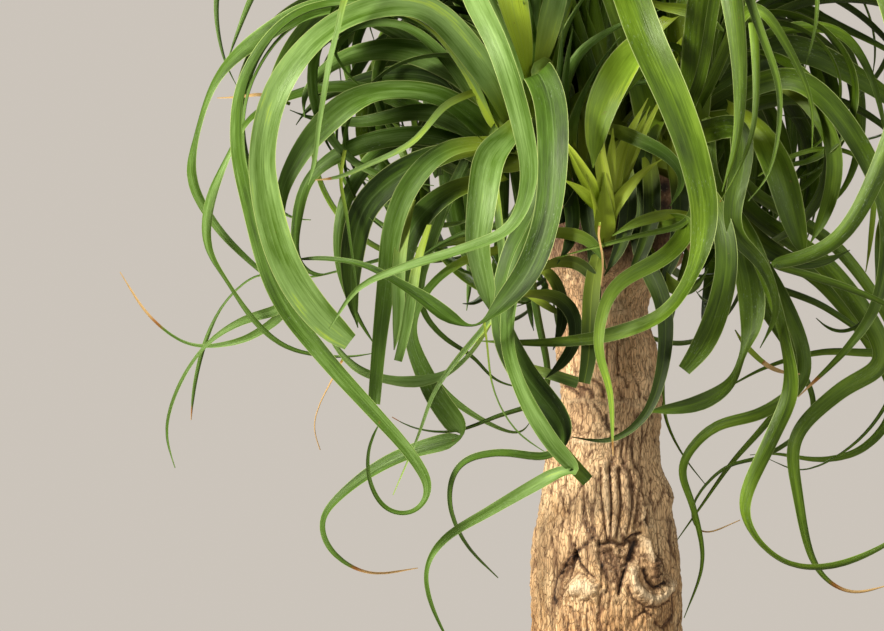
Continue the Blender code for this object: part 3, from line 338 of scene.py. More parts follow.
ROUTES["crown_right"] = {
    "right_front_long": ((20, 50, 110, 178, 194, 196, 190, 172, 153, 134), (655, 110, 28), (620, 0, 32),
        (598, -70, 36), (618, -35, 38), (646, 38, 38), (674, 100, 37), (695, 160, 35), (705, 218, 28),
        (695, 270, 14), (666, 313, 13), (618, 333, 14), (558, 342, 13), (500, 342, 9), (480, 341, 4)),
    "right_front_wide": ((20, 50, 95, 130, 138, 140, 134), (690, 120, 26), (700, 20, 26), (716, -70, 26),
        (733, 5, 26), (740, 75, 26), (737, 140, 24), (722, 192, 8)),
    "right_front_thin": ((0, 25, 70, 100, 106, 103), (700, 100, 12), (720, 0, 12), (742, -20, 12),
        (756, 60, 12), (752, 135, 11), (730, 186, 6), (720, 202, 3)),
    "right_front_bent": ((30, 85, 94, 97, 97, 84, 80, 72), (700, 130, 16), (742, 130, 20), (742, 160, 22),
        (732, 215, 22), (736, 236, 21), (762, 264, 12), (777, 310, 11), (760, 348, 5)),
    "right_sweep": ((10, 50, 75, 92, 96, 100, 96, 84, 66), (720, 60, 20), (780, -60, 22), (850, -70, 22),
        (905, 70, 22), (878, 172, 21), (838, 239, 23), (797, 259, 18), (765, 264, 4), (805, 275, 7),
        (858, 292, 6), (910, 318, 4), (930, 340, 2)),
    "right_inner_hook": ((50, 92, 100, 101, 95, 78), (690, 170, 20), (722, 220, 22), (724, 272, 22),
        (704, 340, 18), (684, 368, 6), (668, 402, 8), (664, 420, 4)),
    "right_low_hook": ((10, 40, 55, 60, 66, 80), (700, 180, 20), (735, 230, 24), (752, 310, 26),
        (744, 348, 8), (735, 378, 11), (700, 403, 15), (645, 412, 3)),
    "trunk_dark_hook": ((60, 80, 87, 90, 90, 87), (640, 240, 14), (664, 305, 17), (663, 365, 17),
        (645, 416, 12), (610, 441, 8), (572, 437, 2)),
    "trunk_light_hook": ((60, 95, 104, 102, 98, 95), (650, 215, 10), (688, 225, 12), (668, 254, 14),
        (612, 290, 12), (598, 347, 8), (610, 390, 7), (613, 456, 1.5)),
    "trunk_bar": ((90, 93, 88), (690, 220, 6), (640, 235, 9), (580, 251, 6), (556, 258, 3)),
    "right_s_curve": ((-20, 0, 20, 29, 26, 22, 16, 10), (700, 200, 12), (760, 260, 12), (805, 375, 12),
        (765, 412, 12), (712, 428, 13), (681, 468, 7), (692, 503, 6), (703, 562, 4), (684, 618, 1.5)),
    "trunk_back_drop": ((-50, -52, -46, -30, -10), (690, 240, 8), (668, 330, 8), (664, 412, 7), (682, 454, 7),
        (705, 484, 2)),
    "right_long_curl": ((30, 50, 59, 62, 60, 56, 54, 50, 46, 40), (710, 180, 14), (750, 240, 14),
        (783, 340, 8), (790, 392, 13), (771, 440, 15), (743, 506, 8), (754, 537, 4), (787, 564, 4),
        (828, 567, 5), (880, 548, 5), (935, 510, 2)),
    "right_dark_drop": ((-60, -60, -50, -42, -36, -28), (720, 230, 10), (800, 370, 10), (765, 425, 10),
        (733, 461, 10), (702, 505, 7), (675, 543, 1.5)),
    "right_inner_curl": ((-20, -12, -5, 0, 4, 4), (730, 250, 8), (815, 410, 8), (768, 455, 7), (725, 467, 8),
        (691, 509, 5), (700, 534, 3), (740, 520, 1.5)),
    "right_back_bow": ((-80, -90, -80, -72, -66, -58), (730, 230, 14), (820, 280, 15), (895, 400, 15),
        (866, 447, 9), (824, 460, 11), (772, 453, 9), (750, 455, 4)),
    "right_thin_bow": ((-40, -50, -46, -42, -36), (730, 260, 8), (830, 310, 7), (895, 370, 6), (866, 433, 4),
        (802, 471, 4.5), (769, 459, 3)),
    "right_pale_tipped": ((0, 10, 18, 26, 28, 28, 28), (740, 200, 14), (830, 270, 16), (884, 360, 17),
        (840, 391, 16), (795, 438, 11), (798, 495, 10), (818, 571, 5), (850, 593, 3), (892, 584, 1.5)),
    "right_flat_return": ((-30, -40, -35, -30, -26), (740, 180, 10), (840, 250, 11), (895, 347, 10),
        (820, 352, 10), (764, 368, 10), (720, 392, 5)),
    "right_round_bow": ((20, 55, 60, 56, 50, 44), (720, 100, 16), (800, 80, 18), (884, 200, 18),
        (878, 300, 9), (850, 345, 15), (798, 397, 10)),
    "top_right_far": ((-40, -48, -52, -56), (700, 70, 14), (775, 3, 14), (842, 27, 14), (905, 62, 10),
        (930, 95, 5)),
    "top_right_hook": ((-20, -16, -8, 0), (705, 80, 12), (780, 31, 11), (838, 31, 14), (868, 68, 12),
        (893, 165, 5)),
    "top_right_broad": ((-10, -25, -31, -34), (705, 90, 30), (785, 48, 34), (858, 78, 33), (918, 125, 18),
        (935, 165, 6)),
    "top_right_back": ((-60, -66, -72, -74), (710, 110, 12), (815, 95, 13), (884, 126, 12), (930, 190, 3)),
    "top_right_loop": ((60, 85, 94, 94), (720, 60, 10), (760, -60, 12), (805, -70, 12), (817, 15, 10),
        (804, 72, 3)),
    "right_front_curl": ((60, 120, 140, 141, 138), (700, 80, 12), (728, -45, 12), (760, 30, 12),
        (780, 95, 10), (768, 176, 4), (748, 201, 2)),
    "right_short_curl": ((40, 58, 60, 60), (705, 90, 12), (755, 5, 13), (792, 55, 14), (812, 105, 8),
        (812, 148, 2)),
    "right_broad_drop": ((10, 26, 31, 32), (705, 130, 20), (745, 125, 24), (782, 175, 28), (794, 230, 22),
        (803, 250, 10)),
    "right_back_drop": ((-20, -12, -6, -4), (715, 120, 12), (812, 100, 13), (835, 150, 14), (824, 208, 12),
        (814, 236, 6)),
    "glossy_front": ((30, 80, 98, 100), (670, 90, 18), (648, 25, 20), (618, 60, 24), (598, 118, 26),
        (598, 168, 6)),
    "glossy_low": ((60, 82, 90), (665, 50, 10), (628, 88, 13), (605, 128, 8)),
    "heart_back": ((0, 10, 20), (690, 110, 20), (692, 45, 24), (700, 0, 20), (684, -80, 12), (640, -140, 5)),
    "heart_out": ((-30, -40, -60), (692, 70, 14), (712, -20, 16), (760, -110, 12), (830, -150, 5)),
}
ROUTES["front_shoot"] = {
    "shoot_left": ((78, 84, 92, 94), (604, 216, 10), (597, 195, 9), (572, 150, 7), (555, 130, 4)),
    "shoot_low_left": ((76, 80, 88), (604, 214, 10), (590, 200, 12), (575, 186, 10), (560, 178, 6)),
    "shoot_tall": ((78, 82, 88, 90), (606, 212, 10), (603, 180, 12), (599, 150, 11), (604, 95, 3)),
    "shoot_right": ((76, 76, 80, 82), (608, 212, 10), (614, 180, 12), (622, 150, 11), (648, 98, 4)),
    "shoot_long_right": ((74, 72, 68, 66), (609, 212, 9), (622, 180, 9), (638, 145, 8), (656, 108, 6),
        (672, 80, 3)),
    "shoot_low_right": ((76, 78, 82), (610, 214, 9), (626, 190, 9), (645, 170, 8), (664, 158, 5)),
    "shoot_hanging": ((70, 84, 90, 92), (602, 236, 10), (597, 275, 14), (588, 328, 16), (590, 380, 12)),
}
print("routes:", {name: len(routes) for name, routes in ROUTES.items()})

# %% [markdown]
# Four short stems carry the leaves. Each grows from an arm of the trunk, and its own foot and tip are places
# in the picture too. They are made before the leaves, because a leaf may not pass through a stem.

# %% Stems of the crowns
STEMS = {
    "crown_left": {"foot": (556, 180, 18), "tip": (530, 50, 33), "arm": (592, 250, 5), "radius": 0.0200},
    "crown_right": {"foot": (657, 178, -5), "tip": (690, 50, -40), "arm": (625, 250, 0), "radius": 0.0200},
    "crown_back": {"foot": (606, 180, -42), "tip": (598, 50, -78), "arm": (606, 250, -10), "radius": 0.0200},
    "front_shoot": {"foot": (605, 238, 58), "tip": (604, 212, 78), "arm": (606, 262, 28), "radius": 0.0085},
}
STEM_SIDES = 28
STEM_TAPER = (1.0, 1.0, 0.97, 0.92, 0.82, 0.70, 0.58, 0.45, 0.25)
TUBE_START_SIDE = (0, 1, 0.3)


def stem_points(name):
    """Where the stem's arm starts, and the foot and tip of its crown."""
    places = [STEMS[name][part] for part in ("arm", "foot", "tip")]
    return [sighted(across, down, near * MILLIMETRE) for across, down, near in places]


def skinned(rings):
    """Faces of a skin over rings of equally many points."""
    count = len(rings[0])
    faces = []
    for low in range(0, (len(rings) - 1) * count, count):
        for place in range(count):
            after = (place + 1) % count
            faces.append((low + place, low + after, low + count + after, low + count + place))
    faces.append(tuple(range(count))[::-1])
    faces.append(tuple((len(rings) - 1) * count + place for place in range(count)))
    return faces


def joined(rings):
    return [tuple(point) for ring in rings for point in ring]


def renumbered(faces, offset):
    """Faces whose corners are counted from an offset."""
    return [tuple(corner + offset for corner in face) for face in faces]


def tube(line, radii, sides, relief=None):
    """Points and faces of a round tube. Relief adds to its radius at a turn round it and a step along it."""
    line = np.array([tuple(point) for point in line])
    tangents = np.gradient(line, axis=0)
    tangents /= np.linalg.norm(tangents, axis=1, keepdims=True)
    side = np.cross(tangents[0], TUBE_START_SIDE)
    rings = []
    for step, (middle, tangent, radius) in enumerate(zip(line, tangents, radii)):
        side = side - tangent * np.dot(side, tangent)
        side /= np.linalg.norm(side)
        other = np.cross(tangent, side)
        ring = []
        for place in range(sides):
            turn = 2 * math.pi * place / sides
            out = radius + (relief(turn, step) if relief else 0)
            ring.append(middle + out * (math.cos(turn) * side + math.sin(turn) * other))
        rings.append(ring)
    return joined(rings), skinned(rings)


stem_shapes = {}
for name, stem in STEMS.items():
    _, foot, tip = stem_points(name)
    steps = len(STEM_TAPER)
    line = [foot.lerp(tip, step / (steps - 1)) for step in range(steps)]
    stem_shapes[name] = tube(line, [stem["radius"] * taper for taper in STEM_TAPER], STEM_SIDES)
    print(name, "stem:", round((tip - foot).length / MILLIMETRE), "mm")

# %% [markdown]
# A route becomes a smooth curve in space, and the width that shows says how far the strap is turned from the
# eye: a strap seen narrower than it is wide must be twisted.

# %% From a route to a curved strap
ROOT_ZONE = 0.05
ROOT_OFFSET = 0.4
FULL_SHIFT_AT = 0.3
DROP_NEEDS_ELBOW = 0.015
ELBOW_REACH = 0.034
ELBOW_RISE = 0.012
CURVE_STEPS = 8
THINNEST = 0.0012
TAPER_FROM = 0.42
TAPER_SPAN = 0.58
TAPER = 0.93
NARROWEST_SHOWN = 0.12
TIGHTEST_BEND = 1.1


def unit(vectors):
    return vectors / np.maximum(np.linalg.norm(vectors, axis=-1, keepdims=True), 1e-9)


def distance_along(points):
    return np.concatenate([[0], np.cumsum(np.linalg.norm(np.diff(points, axis=0), axis=1))])


def hermite(values, slopes, span, step, s):
    """The smooth curve's value at share s of a span that is step long, from values and slopes at its ends."""
    return ((1 + 2 * s) * (1 - s) ** 2 * values[span] + s * (1 - s) ** 2 * step * slopes[span]
            + s * s * (3 - 2 * s) * values[span + 1] + s * s * (s - 1) * step * slopes[span + 1])


def curve_through(rows, per_span):
    """A smooth curve through rows of numbers, the first three of which are a point."""
    rows = np.array(rows, float)
    gaps = np.sqrt(np.linalg.norm(np.diff(rows[:, :3], axis=0), axis=1))
    knots = np.concatenate([[0], np.cumsum(gaps)])
    slopes = np.gradient(rows, knots, axis=0)
    curve = [rows[0]]
    for span, step in enumerate(np.diff(knots)):
        for s in np.linspace(0, 1, per_span + 1)[1:]:
            curve.append(hermite(rows, slopes, span, step, s))
    return np.array(curve)


def strap_width(share, widest):
    """The width of a strap leaf: full over its first half, then a long taper to the tip."""
    return widest * (1 - TAPER * np.clip((share - TAPER_FROM) / TAPER_SPAN, 0, 1) ** 1.35)


def turned_across(points, shown, widest):
    """The direction of the strap's width at each point, so that it shows the given width to the eye."""
    tangents = unit(np.gradient(points, axis=0))
    along = distance_along(points)
    bending = np.gradient(tangents, np.maximum(along, np.arange(len(along)) * 1e-6), axis=0)
    full = np.maximum(strap_width(along / along[-1], widest), THINNEST)
    across = []
    for tangent, bend, seen, width in zip(tangents, bending, shown, full):
        side = np.cross(tangent, (0, 1, 0))
        if across and np.linalg.norm(side) < 0.25:
            side = across[-1] - tangent * np.dot(across[-1], tangent)
        side = side / np.linalg.norm(side)
        if across and np.dot(side, across[-1]) < 0:
            side = -side
        seen = min(seen, TIGHTEST_BEND / max(abs(np.dot(bend, side)), 1e-6), width)
        turn = math.acos(max(seen / width, NARROWEST_SHOWN))
        across.append(math.cos(turn) * side + math.sin(turn) * np.cross(tangent, side))
    padded = np.pad(np.array(across), ((3, 3), (0, 0)), mode="edge")
    window = np.ones(7) / 7
    across = np.stack([np.convolve(padded[:, axis], window, mode="valid") for axis in range(3)], axis=1)
    return unit(across - tangents * np.sum(across * tangents, axis=1, keepdims=True)), full


def root_on_stem(name, first, share):
    """The point inside the crown's stem that a leaf grows from."""
    _, foot, tip = stem_points(name)
    place = foot.lerp(tip, share)
    outward = ((first - place) * Vector((1, 1, 0))).normalized()
    return place + outward * ROOT_OFFSET * STEMS[name]["radius"]


def routed_leaf(name, nears, route, share, shift, tilt):
    """The points, width directions and widths of a leaf that follows a route.

    A leaf with a share of its stem's height starts inside the stem, and one without starts at its first
    point. Shift and tilt move it along the line of sight.
    """
    travelled = distance_along(np.array(route, float)[:, :2])
    travelled /= travelled[-1]
    near = np.interp(travelled, np.linspace(0, 1, len(nears)), nears) * MILLIMETRE
    near += shift * np.minimum(1, travelled / FULL_SHIFT_AT) + tilt * travelled
    rows = [[*sighted(across, down, near[i]), width * PIXEL] for i, (across, down, width) in enumerate(route)]
    if share is not None:
        first = Vector(rows[0][:3])
        root = root_on_stem(name, first, share)
        if first.z < root.z - DROP_NEEDS_ELBOW:
            outward = ((first - root) * Vector((1, 1, 0))).normalized()
            rows.insert(0, [*(root + outward * ELBOW_REACH + Vector((0, 0, ELBOW_RISE))), rows[0][3]])
        rows.insert(0, [*root, rows[0][3]])
    curve = curve_through(rows, CURVE_STEPS)
    across, widths = turned_across(curve[:, :3], curve[:, 3], max(row[3] for row in rows))
    if share is None:
        widths = np.maximum(curve[:, 3], THINNEST / 2)
    return curve[:, :3], across, widths


nears, *route = ROUTES["crown_left"]["long_left_spiral"]
long_leaf = routed_leaf("crown_left", nears, route, 0.5, 0, 0)
print("longest leaf:", round(float(distance_along(long_leaf[0])[-1]), 2), "m")

# %% [markdown]
# Two leaves never share a place. Before a leaf is kept, a rough copy of it, a little wider and thicker than
# the leaf, is tested against the trunk, the stems and the leaves already there. Where it would cross one, the
# whole leaf moves a few millimetres along the line of sight, which doesn't change what the camera sees.

# %% Finding a clear place for each leaf
BLADE_THICKNESS = 0.0008
BLADE_GAP = 0.0008
LONGEST_STEP = 0.110
BEND_PER_STEP = 0.92
ROOT_WIDTH = 0.35
ROOT_SHARES = (0.3, 0.5, 0.7, 0.9, 0.4, 0.6, 0.8)
SHIFTS = (0, 0.006, 0.012, 0.018, 0.024, 0.032, 0.040, 0.050, 0.060, 0.075)
NEIGHBOUR_TRIANGLES = 20
SELF_CROSSING_COST = 100


def slim_root(points, widths, name):
    """The widths of a rough leaf whose foot is no wider than its stem can hold."""
    foot = ROOT_WIDTH * STEMS[name]["radius"]
    share = np.clip(distance_along(points) / ROOT_ZONE, 0, 1)
    return np.minimum(widths, foot + (max(widths) - foot) * share)


def places_to_cut(points, longest, bend):
    """The curve's points that a coarser copy keeps: closer together where it bends."""
    tangents = unit(np.gradient(points, axis=0))
    bends = np.arccos(np.clip(np.sum(tangents[1:] * tangents[:-1], axis=1), -1, 1))
    lengths = np.linalg.norm(np.diff(points, axis=0), axis=1)
    effort = np.concatenate([[0], np.cumsum(lengths / longest + bends / bend)])
    wanted = np.linspace(0, effort[-1], max(4, math.ceil(effort[-1])) + 1)
    return sorted({int(round(place)) for place in np.interp(wanted, effort, np.arange(len(points)))})


def rough_blade(points, across, widths, thickness):
    """Vertices and triangles of a leaf as a plain thin strap."""
    outs = unit(np.cross(unit(np.gradient(points, axis=0)), across))
    keep = places_to_cut(points, LONGEST_STEP, BEND_PER_STEP)
    vertices = []
    for place in keep:
        half = max(widths[place], THINNEST) / 2
        for side, face in ((-1, -1), (1, -1), (1, 1), (-1, 1)):
            vertices.append(points[place] + side * half * across[place] + face * thickness / 2 * outs[place])
    triangles = [(0, 2, 1), (0, 3, 2)]
    for low in range(0, 4 * (len(keep) - 1), 4):
        for corner in range(4):
            near, after = low + corner, low + (corner + 1) % 4
            triangles += [(near, after, near + 4), (after, after + 4, near + 4)]
    return vertices, triangles


def tree_of(vertices, triangles, beyond=None):
    """A search tree of triangles, or of those further than ROOT_ZONE from a point."""
    if beyond is not None:
        triangles = [t for t in triangles if (Vector(vertices[t[0]]) - beyond).length > ROOT_ZONE]
    return BVHTree.FromPolygons([tuple(v) for v in vertices], triangles) if triangles else None


class Plant:
    """The leaves placed so far, with a search tree for each crown, so that a new one can be kept clear."""

    def __init__(self):
        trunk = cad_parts["trunk"].data
        faces = [tuple(face.vertices) for face in trunk.polygons]
        self.solids = {"trunk": tree_of([vertex.co for vertex in trunk.vertices], faces)}
        self.solids.update({name: tree_of(*shape) for name, shape in stem_shapes.items()})
        self.rough = {name: ([], []) for name in STEMS}
        self.trees = {}
        self.leaves = {name: [] for name in STEMS}

    def crossings(self, name, points, across, widths):
        """How often a leaf would cross other nodes, and leaves of its own crown away from the stem."""
        widths = slim_root(points, widths, name)
        vertices, triangles = rough_blade(points, across, widths + BLADE_GAP, BLADE_THICKNESS + BLADE_GAP)
        tree = tree_of(vertices, triangles)
        nodes = list(self.solids.items()) + list(self.trees.items())
        others = sum(len(tree.overlap(other)) for key, other in nodes if key != name)
        crosses_itself = any(abs(a - b) > NEIGHBOUR_TRIANGLES for a, b in tree.overlap(tree))
        others += SELF_CROSSING_COST * crosses_itself
        own = 0
        if name in self.trees:
            outer = tree_of(vertices, triangles, Vector(points[0]))
            own = len(outer.overlap(self.trees[name])) if outer else 0
        return others, own

    def add(self, name, leaf_name, leaf):
        points, across, widths = leaf
        slim = slim_root(points, widths, name)
        vertices, triangles = rough_blade(points, across, slim, BLADE_THICKNESS)
        placed, faces = self.rough[name]
        offset = len(placed)
        placed.extend(vertices)
        faces.extend(renumbered(triangles, offset))
        self.trees[name] = tree_of(placed, faces)
        self.leaves[name].append((leaf_name, *leaf))

    def best_place(self, name, nears, route):
        """The leaf with the smallest move along the line of sight that is clear of the others."""
        toward = 1 if max(nears) >= 0 else -1
        best = None
        for size in SHIFTS:
            signs = ((toward, 0), (-toward, 0), (0, toward), (0, -toward)) if size else ((0, 0),)
            for shift, tilt in signs:
                for share in ROOT_SHARES:
                    leaf = routed_leaf(name, nears, route, share, shift * size, tilt * size)
                    others, own = self.crossings(name, *leaf)
                    score = (others > 0, own, others)
                    if best is None or score < best[0]:
                        best = (score, leaf)
                    if others == 0 and own == 0:
                        return leaf
        return best[1]


plant = Plant()
for name in ("front_shoot", "crown_left", "crown_right"):
    for leaf_name, (nears, *route) in ROUTES[name].items():
        plant.add(name, leaf_name, plant.best_place(name, nears, route))
print("leaves on routes:", {name: len(leaves) for name, leaves in plant.leaves.items()})

# %% [markdown]
# Thin threads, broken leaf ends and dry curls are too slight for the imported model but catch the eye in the
# photograph. They are strands: routes that start anywhere and lie on their neighbours, each as wide as its
# route says. A strand with the name of a leaf takes its place, where that leaf folds sharply or keeps its
# width.

# %% Strands, threads and broken ends
STRANDS = {}
STRANDS["crown_left"] = {
    "loose_end": ((78, 60, 52), (545, 432, 13), (560, 450, 15), (574, 466, 15), (588, 481, 14)),
    "loose_light": ((100, 128, 132, 120), (375, -20, 8), (350, -12, 8), (338, 30, 7), (330, 60, 7),
        (324, 95, 6), (318, 130, 5), (315, 160, 5), (308, 185, 4)),
    "loose_yellow": ((40, 62, 70, 70), (480, 90, 8), (445, 105, 8), (425, 130, 7), (410, 145, 7),
        (390, 155, 6), (360, 168, 5), (338, 178, 4), (315, 180, 3)),
    "loose_strand": ((40, 36, 30), (345, 150, 4), (340, 180, 4), (346, 210, 4), (350, 240, 3), (357, 290, 3)),
    "loose_thread": ((60, 60, 50), (484, 320, 3), (488, 350, 2.5), (490, 375, 2.5), (497, 400, 2),
        (508, 420, 2), (520, 435, 2), (545, 452, 2)),
    "dry_thread": ((30, 20, 10), (345, 355, 3), (332, 380, 2), (322, 398, 1.5), (316, 413, 1.3),
        (313, 428, 1.2), (320, 450, 1)),
    "big_left_arch": ((40, 70, 95, 110, 108, 104, 92), (520, 140, 26), (480, 65, 32), (420, 7, 30),
        (340, 22, 27), (280, 85, 27), (262, 155, 27), (270, 215, 31), (286, 265, 32), (310, 304, 32),
        (334, 330, 28), (350, 342, 19)),
    "front_wide": ((40, 105, 133, 138, 128, 116, 108, 96), (545, 130, 24), (536, 90, 28), (537, 70, 32),
        (549, 95, 34), (554, 155, 33), (549, 215, 31), (531, 268, 30), (500, 308, 22), (474, 328, 5),
        (452, 321, 18), (428, 302, 17), (403, 286, 12), (364, 265, 8), (318, 258, 5), (292, 260, 3)),
    "pale_fold": ((56, 66, 68, 66), (430, 225, 8), (418, 262, 11), (411, 300, 12), (406, 330, 11),
        (398, 361, 9)),
    "light_band": ((50, 60, 64, 62), (412, 200, 12), (402, 240, 14), (398, 285, 14), (399, 318, 13),
        (394, 350, 6)),
    "low_bow": ((10, 20, 30, 36, 36), (500, 300, 8), (481, 338, 8), (462, 362, 8), (440, 376, 11),
        (414, 382, 13), (389, 380, 10), (358, 370, 9), (338, 350, 6), (326, 332, 5)),
    "brown_tipped": ((-20, 5, 22, 22, 6, -2, -7, -10), (500, 250, 14), (462, 262, 14), (428, 290, 14),
        (411, 330, 18), (424, 371, 22), (441, 404, 24), (460, 428, 22), (467, 438, 6), (452, 441, 20),
        (436, 445, 20), (414, 451, 18), (381, 466, 16), (345, 492, 12), (322, 520, 9), (331, 550, 8),
        (368, 573, 4), (418, 568, 2)),
    "left_whisker": ((10, 20, 30, 20, 0, -20, -40, -44), (500, 150, 14), (455, 70, 14), (400, 25, 12),
        (335, 35, 12), (286, 90, 12), (268, 155, 12), (278, 225, 12), (291, 280, 12), (284, 312, 11),
        (262, 330, 9), (240, 341, 7), (190, 345, 4), (150, 317, 3), (120, 272, 1.5)),
    "left_drop": ((10, 10, 10, 10, 5, 0, -10, -20), (500, 155, 14), (470, 66, 12), (400, 16, 10),
        (300, 22, 8), (252, 82, 7), (243, 145, 7), (257, 212, 9), (281, 280, 11), (286, 306, 11),
        (268, 313, 11), (246, 319, 9), (209, 342, 5), (179, 385, 4), (166, 432, 3), (175, 468, 1.5)),
    "left_thread": ((-60, -60, -64, -66, -64), (500, 235, 10), (430, 246, 8), (370, 262, 6), (334, 272, 4),
        (305, 278, 4), (278, 275, 4), (258, 274, 4), (224, 303, 4), (205, 342, 5), (194, 388, 4),
        (191, 420, 2)),
    "dry_tip": ((-5, -20), (290, 104, 4), (262, 94, 4), (240, 97, 3), (217, 98, 2)),
    "dark_strand": ((50, 55, 60), (520, 288, 8), (535, 298, 8), (550, 308, 8), (568, 318, 7)),
    "trunk_loop": ((60, 66, 74, 74, 70), (500, 296, 8), (535, 294, 11), (560, 298, 15), (575, 316, 15),
        (574, 346, 13), (560, 366, 10), (546, 378, 6)),
    "trunk_edge": ((50, 60, 66, 60), (520, 262, 8), (546, 270, 12), (560, 290, 13), (563, 322, 12),
        (553, 350, 5)),
    "light_stub": ((40, 62, 68), (510, 352, 6), (520, 362, 8), (543, 372, 11), (560, 377, 12),
        (578, 383, 12)),
    "front_hanging": ((40, 96, 120, 125, 123, 116), (530, 112, 22), (507, 138, 30), (490, 158, 34),
        (484, 188, 33), (480, 218, 30), (477, 245, 26), (487, 293, 19), (491, 312, 12)),
    "inner_hook": ((20, 34, 34, 30, 12, 2), (505, 148, 18), (440, 156, 27), (394, 178, 30), (364, 208, 29),
        (352, 256, 25), (352, 300, 13), (358, 328, 3)),
    "hanging_hook": ((40, 58, 62, 58, 50, 46), (505, 142, 16), (446, 150, 20), (410, 184, 22), (392, 230, 21),
        (386, 284, 19), (379, 345, 15), (374, 404, 13)),
    "olive_hook": ((30, 46, 46, 40, 32), (505, 176, 16), (450, 192, 23), (416, 222, 25), (402, 262, 22),
        (404, 298, 13), (412, 320, 3)),
    "cover_near": ((30, 62, 72, 74), (552, 140, 12), (564, 180, 17), (573, 212, 17), (569, 246, 11),
        (557, 264, 3)),
    "cover_next": ((30, 66, 76, 80), (570, 140, 12), (582, 180, 18), (589, 222, 18), (594, 262, 11),
        (588, 300, 3)),
    "cover_bar": ((60, 80, 84, 80), (536, 234, 8), (560, 232, 12), (582, 236, 13), (600, 250, 9),
        (606, 270, 3)),
    "cover_hook": ((60, 80, 86, 82), (536, 270, 8), (560, 260, 13), (582, 264, 14), (596, 281, 11),
        (600, 312, 3)),
    "cover_back": ((30, 60, 70, 66), (598, 140, 14), (590, 175, 18), (575, 205, 17), (558, 222, 10),
        (546, 228, 3)),
    "heart_bright": ((64, 86, 90, 70), (527, 80, 15), (523, 50, 26), (515, 16, 32), (507, -22, 34),
        (497, -70, 26), (480, -122, 7)),
    "centre_bow": ((60, 99, 101, 94, 80), (600, 126, 8), (612, 129, 13), (640, 140, 15), (668, 155, 13),
        (684, 178, 8), (670, 206, 3)),
    "heart_green": ((56, 74, 74, 50), (535, 78, 14), (543, 48, 22), (552, 10, 26), (566, -40, 22),
        (592, -92, 14), (622, -125, 4)),
}
STRANDS["crown_right"] = {
    "loose_bar": ((70, 84, 88, 86), (692, 214, 6), (672, 214, 11), (650, 218, 12), (632, 224, 9),
        (612, 236, 4)),
    "glossy_front": ((40, 84, 102, 104, 100), (672, 18, 20), (642, 42, 30), (614, 80, 36), (600, 112, 32),
        (595, 142, 20), (593, 168, 4)),
    "cover_left": ((30, 64, 76, 78), (618, 140, 13), (627, 178, 18), (628, 216, 18), (618, 252, 12),
        (604, 276, 3)),
    "cover_right": ((30, 64, 74, 74), (646, 140, 13), (652, 180, 19), (651, 222, 18), (640, 258, 13),
        (624, 284, 3)),
    "cover_edge": ((30, 60, 70, 70), (668, 140, 13), (679, 185, 18), (680, 225, 18), (672, 262, 13),
        (656, 294, 3)),
    "cover_drop": ((50, 70, 76, 72), (638, 226, 10), (646, 260, 16), (657, 288, 17), (666, 316, 12),
        (667, 350, 3)),
    "cover_fold": ((50, 74, 78, 72), (650, 250, 10), (664, 280, 15), (682, 292, 14), (698, 286, 9),
        (708, 268, 3)),
    "right_broad_near": ((40, 62, 72, 70, 66), (728, 104, 18), (758, 128, 27), (780, 172, 33), (793, 220, 27),
        (801, 246, 15), (806, 262, 5)),
    "right_olive_drop": ((20, 40, 48, 46, 40), (770, 80, 12), (806, 100, 16), (832, 140, 18), (834, 180, 18),
        (824, 216, 14), (810, 244, 4)),
    "right_inner_hook": ((50, 92, 100, 101, 98, 94), (690, 170, 20), (722, 220, 22), (727, 262, 23),
        (719, 305, 24), (703, 345, 23), (684, 370, 14)),
    "right_low_hook": ((10, 40, 55, 60, 66, 80), (700, 180, 20), (735, 230, 26), (752, 300, 28),
        (751, 334, 20), (743, 354, 11), (733, 382, 13), (700, 403, 17), (645, 412, 5)),
    "right_under": ((30, 46, 50, 44), (716, 190, 14), (742, 226, 22), (770, 250, 22), (796, 262, 16),
        (824, 262, 10), (850, 250, 3)),
    "dry_bit": ((60, 62), (682, 230, 1), (684, 238, 7), (690, 246, 9), (692, 256, 6), (690, 264, 3)),
    "loose_gold": ((40, 40, 44), (735, 330, 1.5), (745, 345, 6), (770, 368, 5), (785, 373, 4), (800, 374, 3)),
    "edge_hook": ((-10, 20, 20, 6), (890, 190, 5), (884, 210, 5), (878, 230, 6), (880, 262, 10),
        (880, 290, 10), (873, 312, 8), (860, 326, 5), (842, 333, 4), (826, 328, 3.5), (816, 318, 2.5)),
    "edge_curl": ((30, 34, 48), (866, 272, 1), (869, 250, 5), (872, 225, 6), (874, 190, 6), (866, 164, 5),
        (850, 152, 5), (828, 148, 5), (802, 152, 5), (778, 163, 5), (758, 176, 4)),
    "top_strip": ((20, 32, 42), (640, -8, 8), (655, 5, 10), (680, 8, 13), (705, 17, 14), (725, 32, 8)),
}
STRANDS["front_shoot"] = {
    "shoot_sheath": ((72, 84, 86, 84), (604, 246, 9), (604, 236, 21), (604, 222, 24), (603, 202, 17),
        (604, 188, 9), (604, 172, 3)),
    "blade_middle": ((74, 80, 84, 86), (605, 214, 9), (609, 182, 11), (612, 152, 9), (613, 128, 2)),
    "blade_far": ((70, 74, 76, 76), (609, 214, 9), (621, 176, 11), (634, 142, 10), (650, 106, 2)),
    "blade_side": ((74, 80, 84, 84), (602, 216, 9), (592, 196, 9), (579, 172, 8), (566, 146, 2)),
    "shoot_hanging": ((72, 84, 92, 94, 93), (602, 238, 10), (597, 262, 16), (592, 290, 18), (590, 325, 18),
        (589, 358, 17), (584, 383, 13)),
    "tan_thread": ((90, 96, 92), (600, 222, 2.4), (598, 235, 2.2), (602, 250, 2.2), (603, 265, 2),
        (601, 285, 1.6)),
}
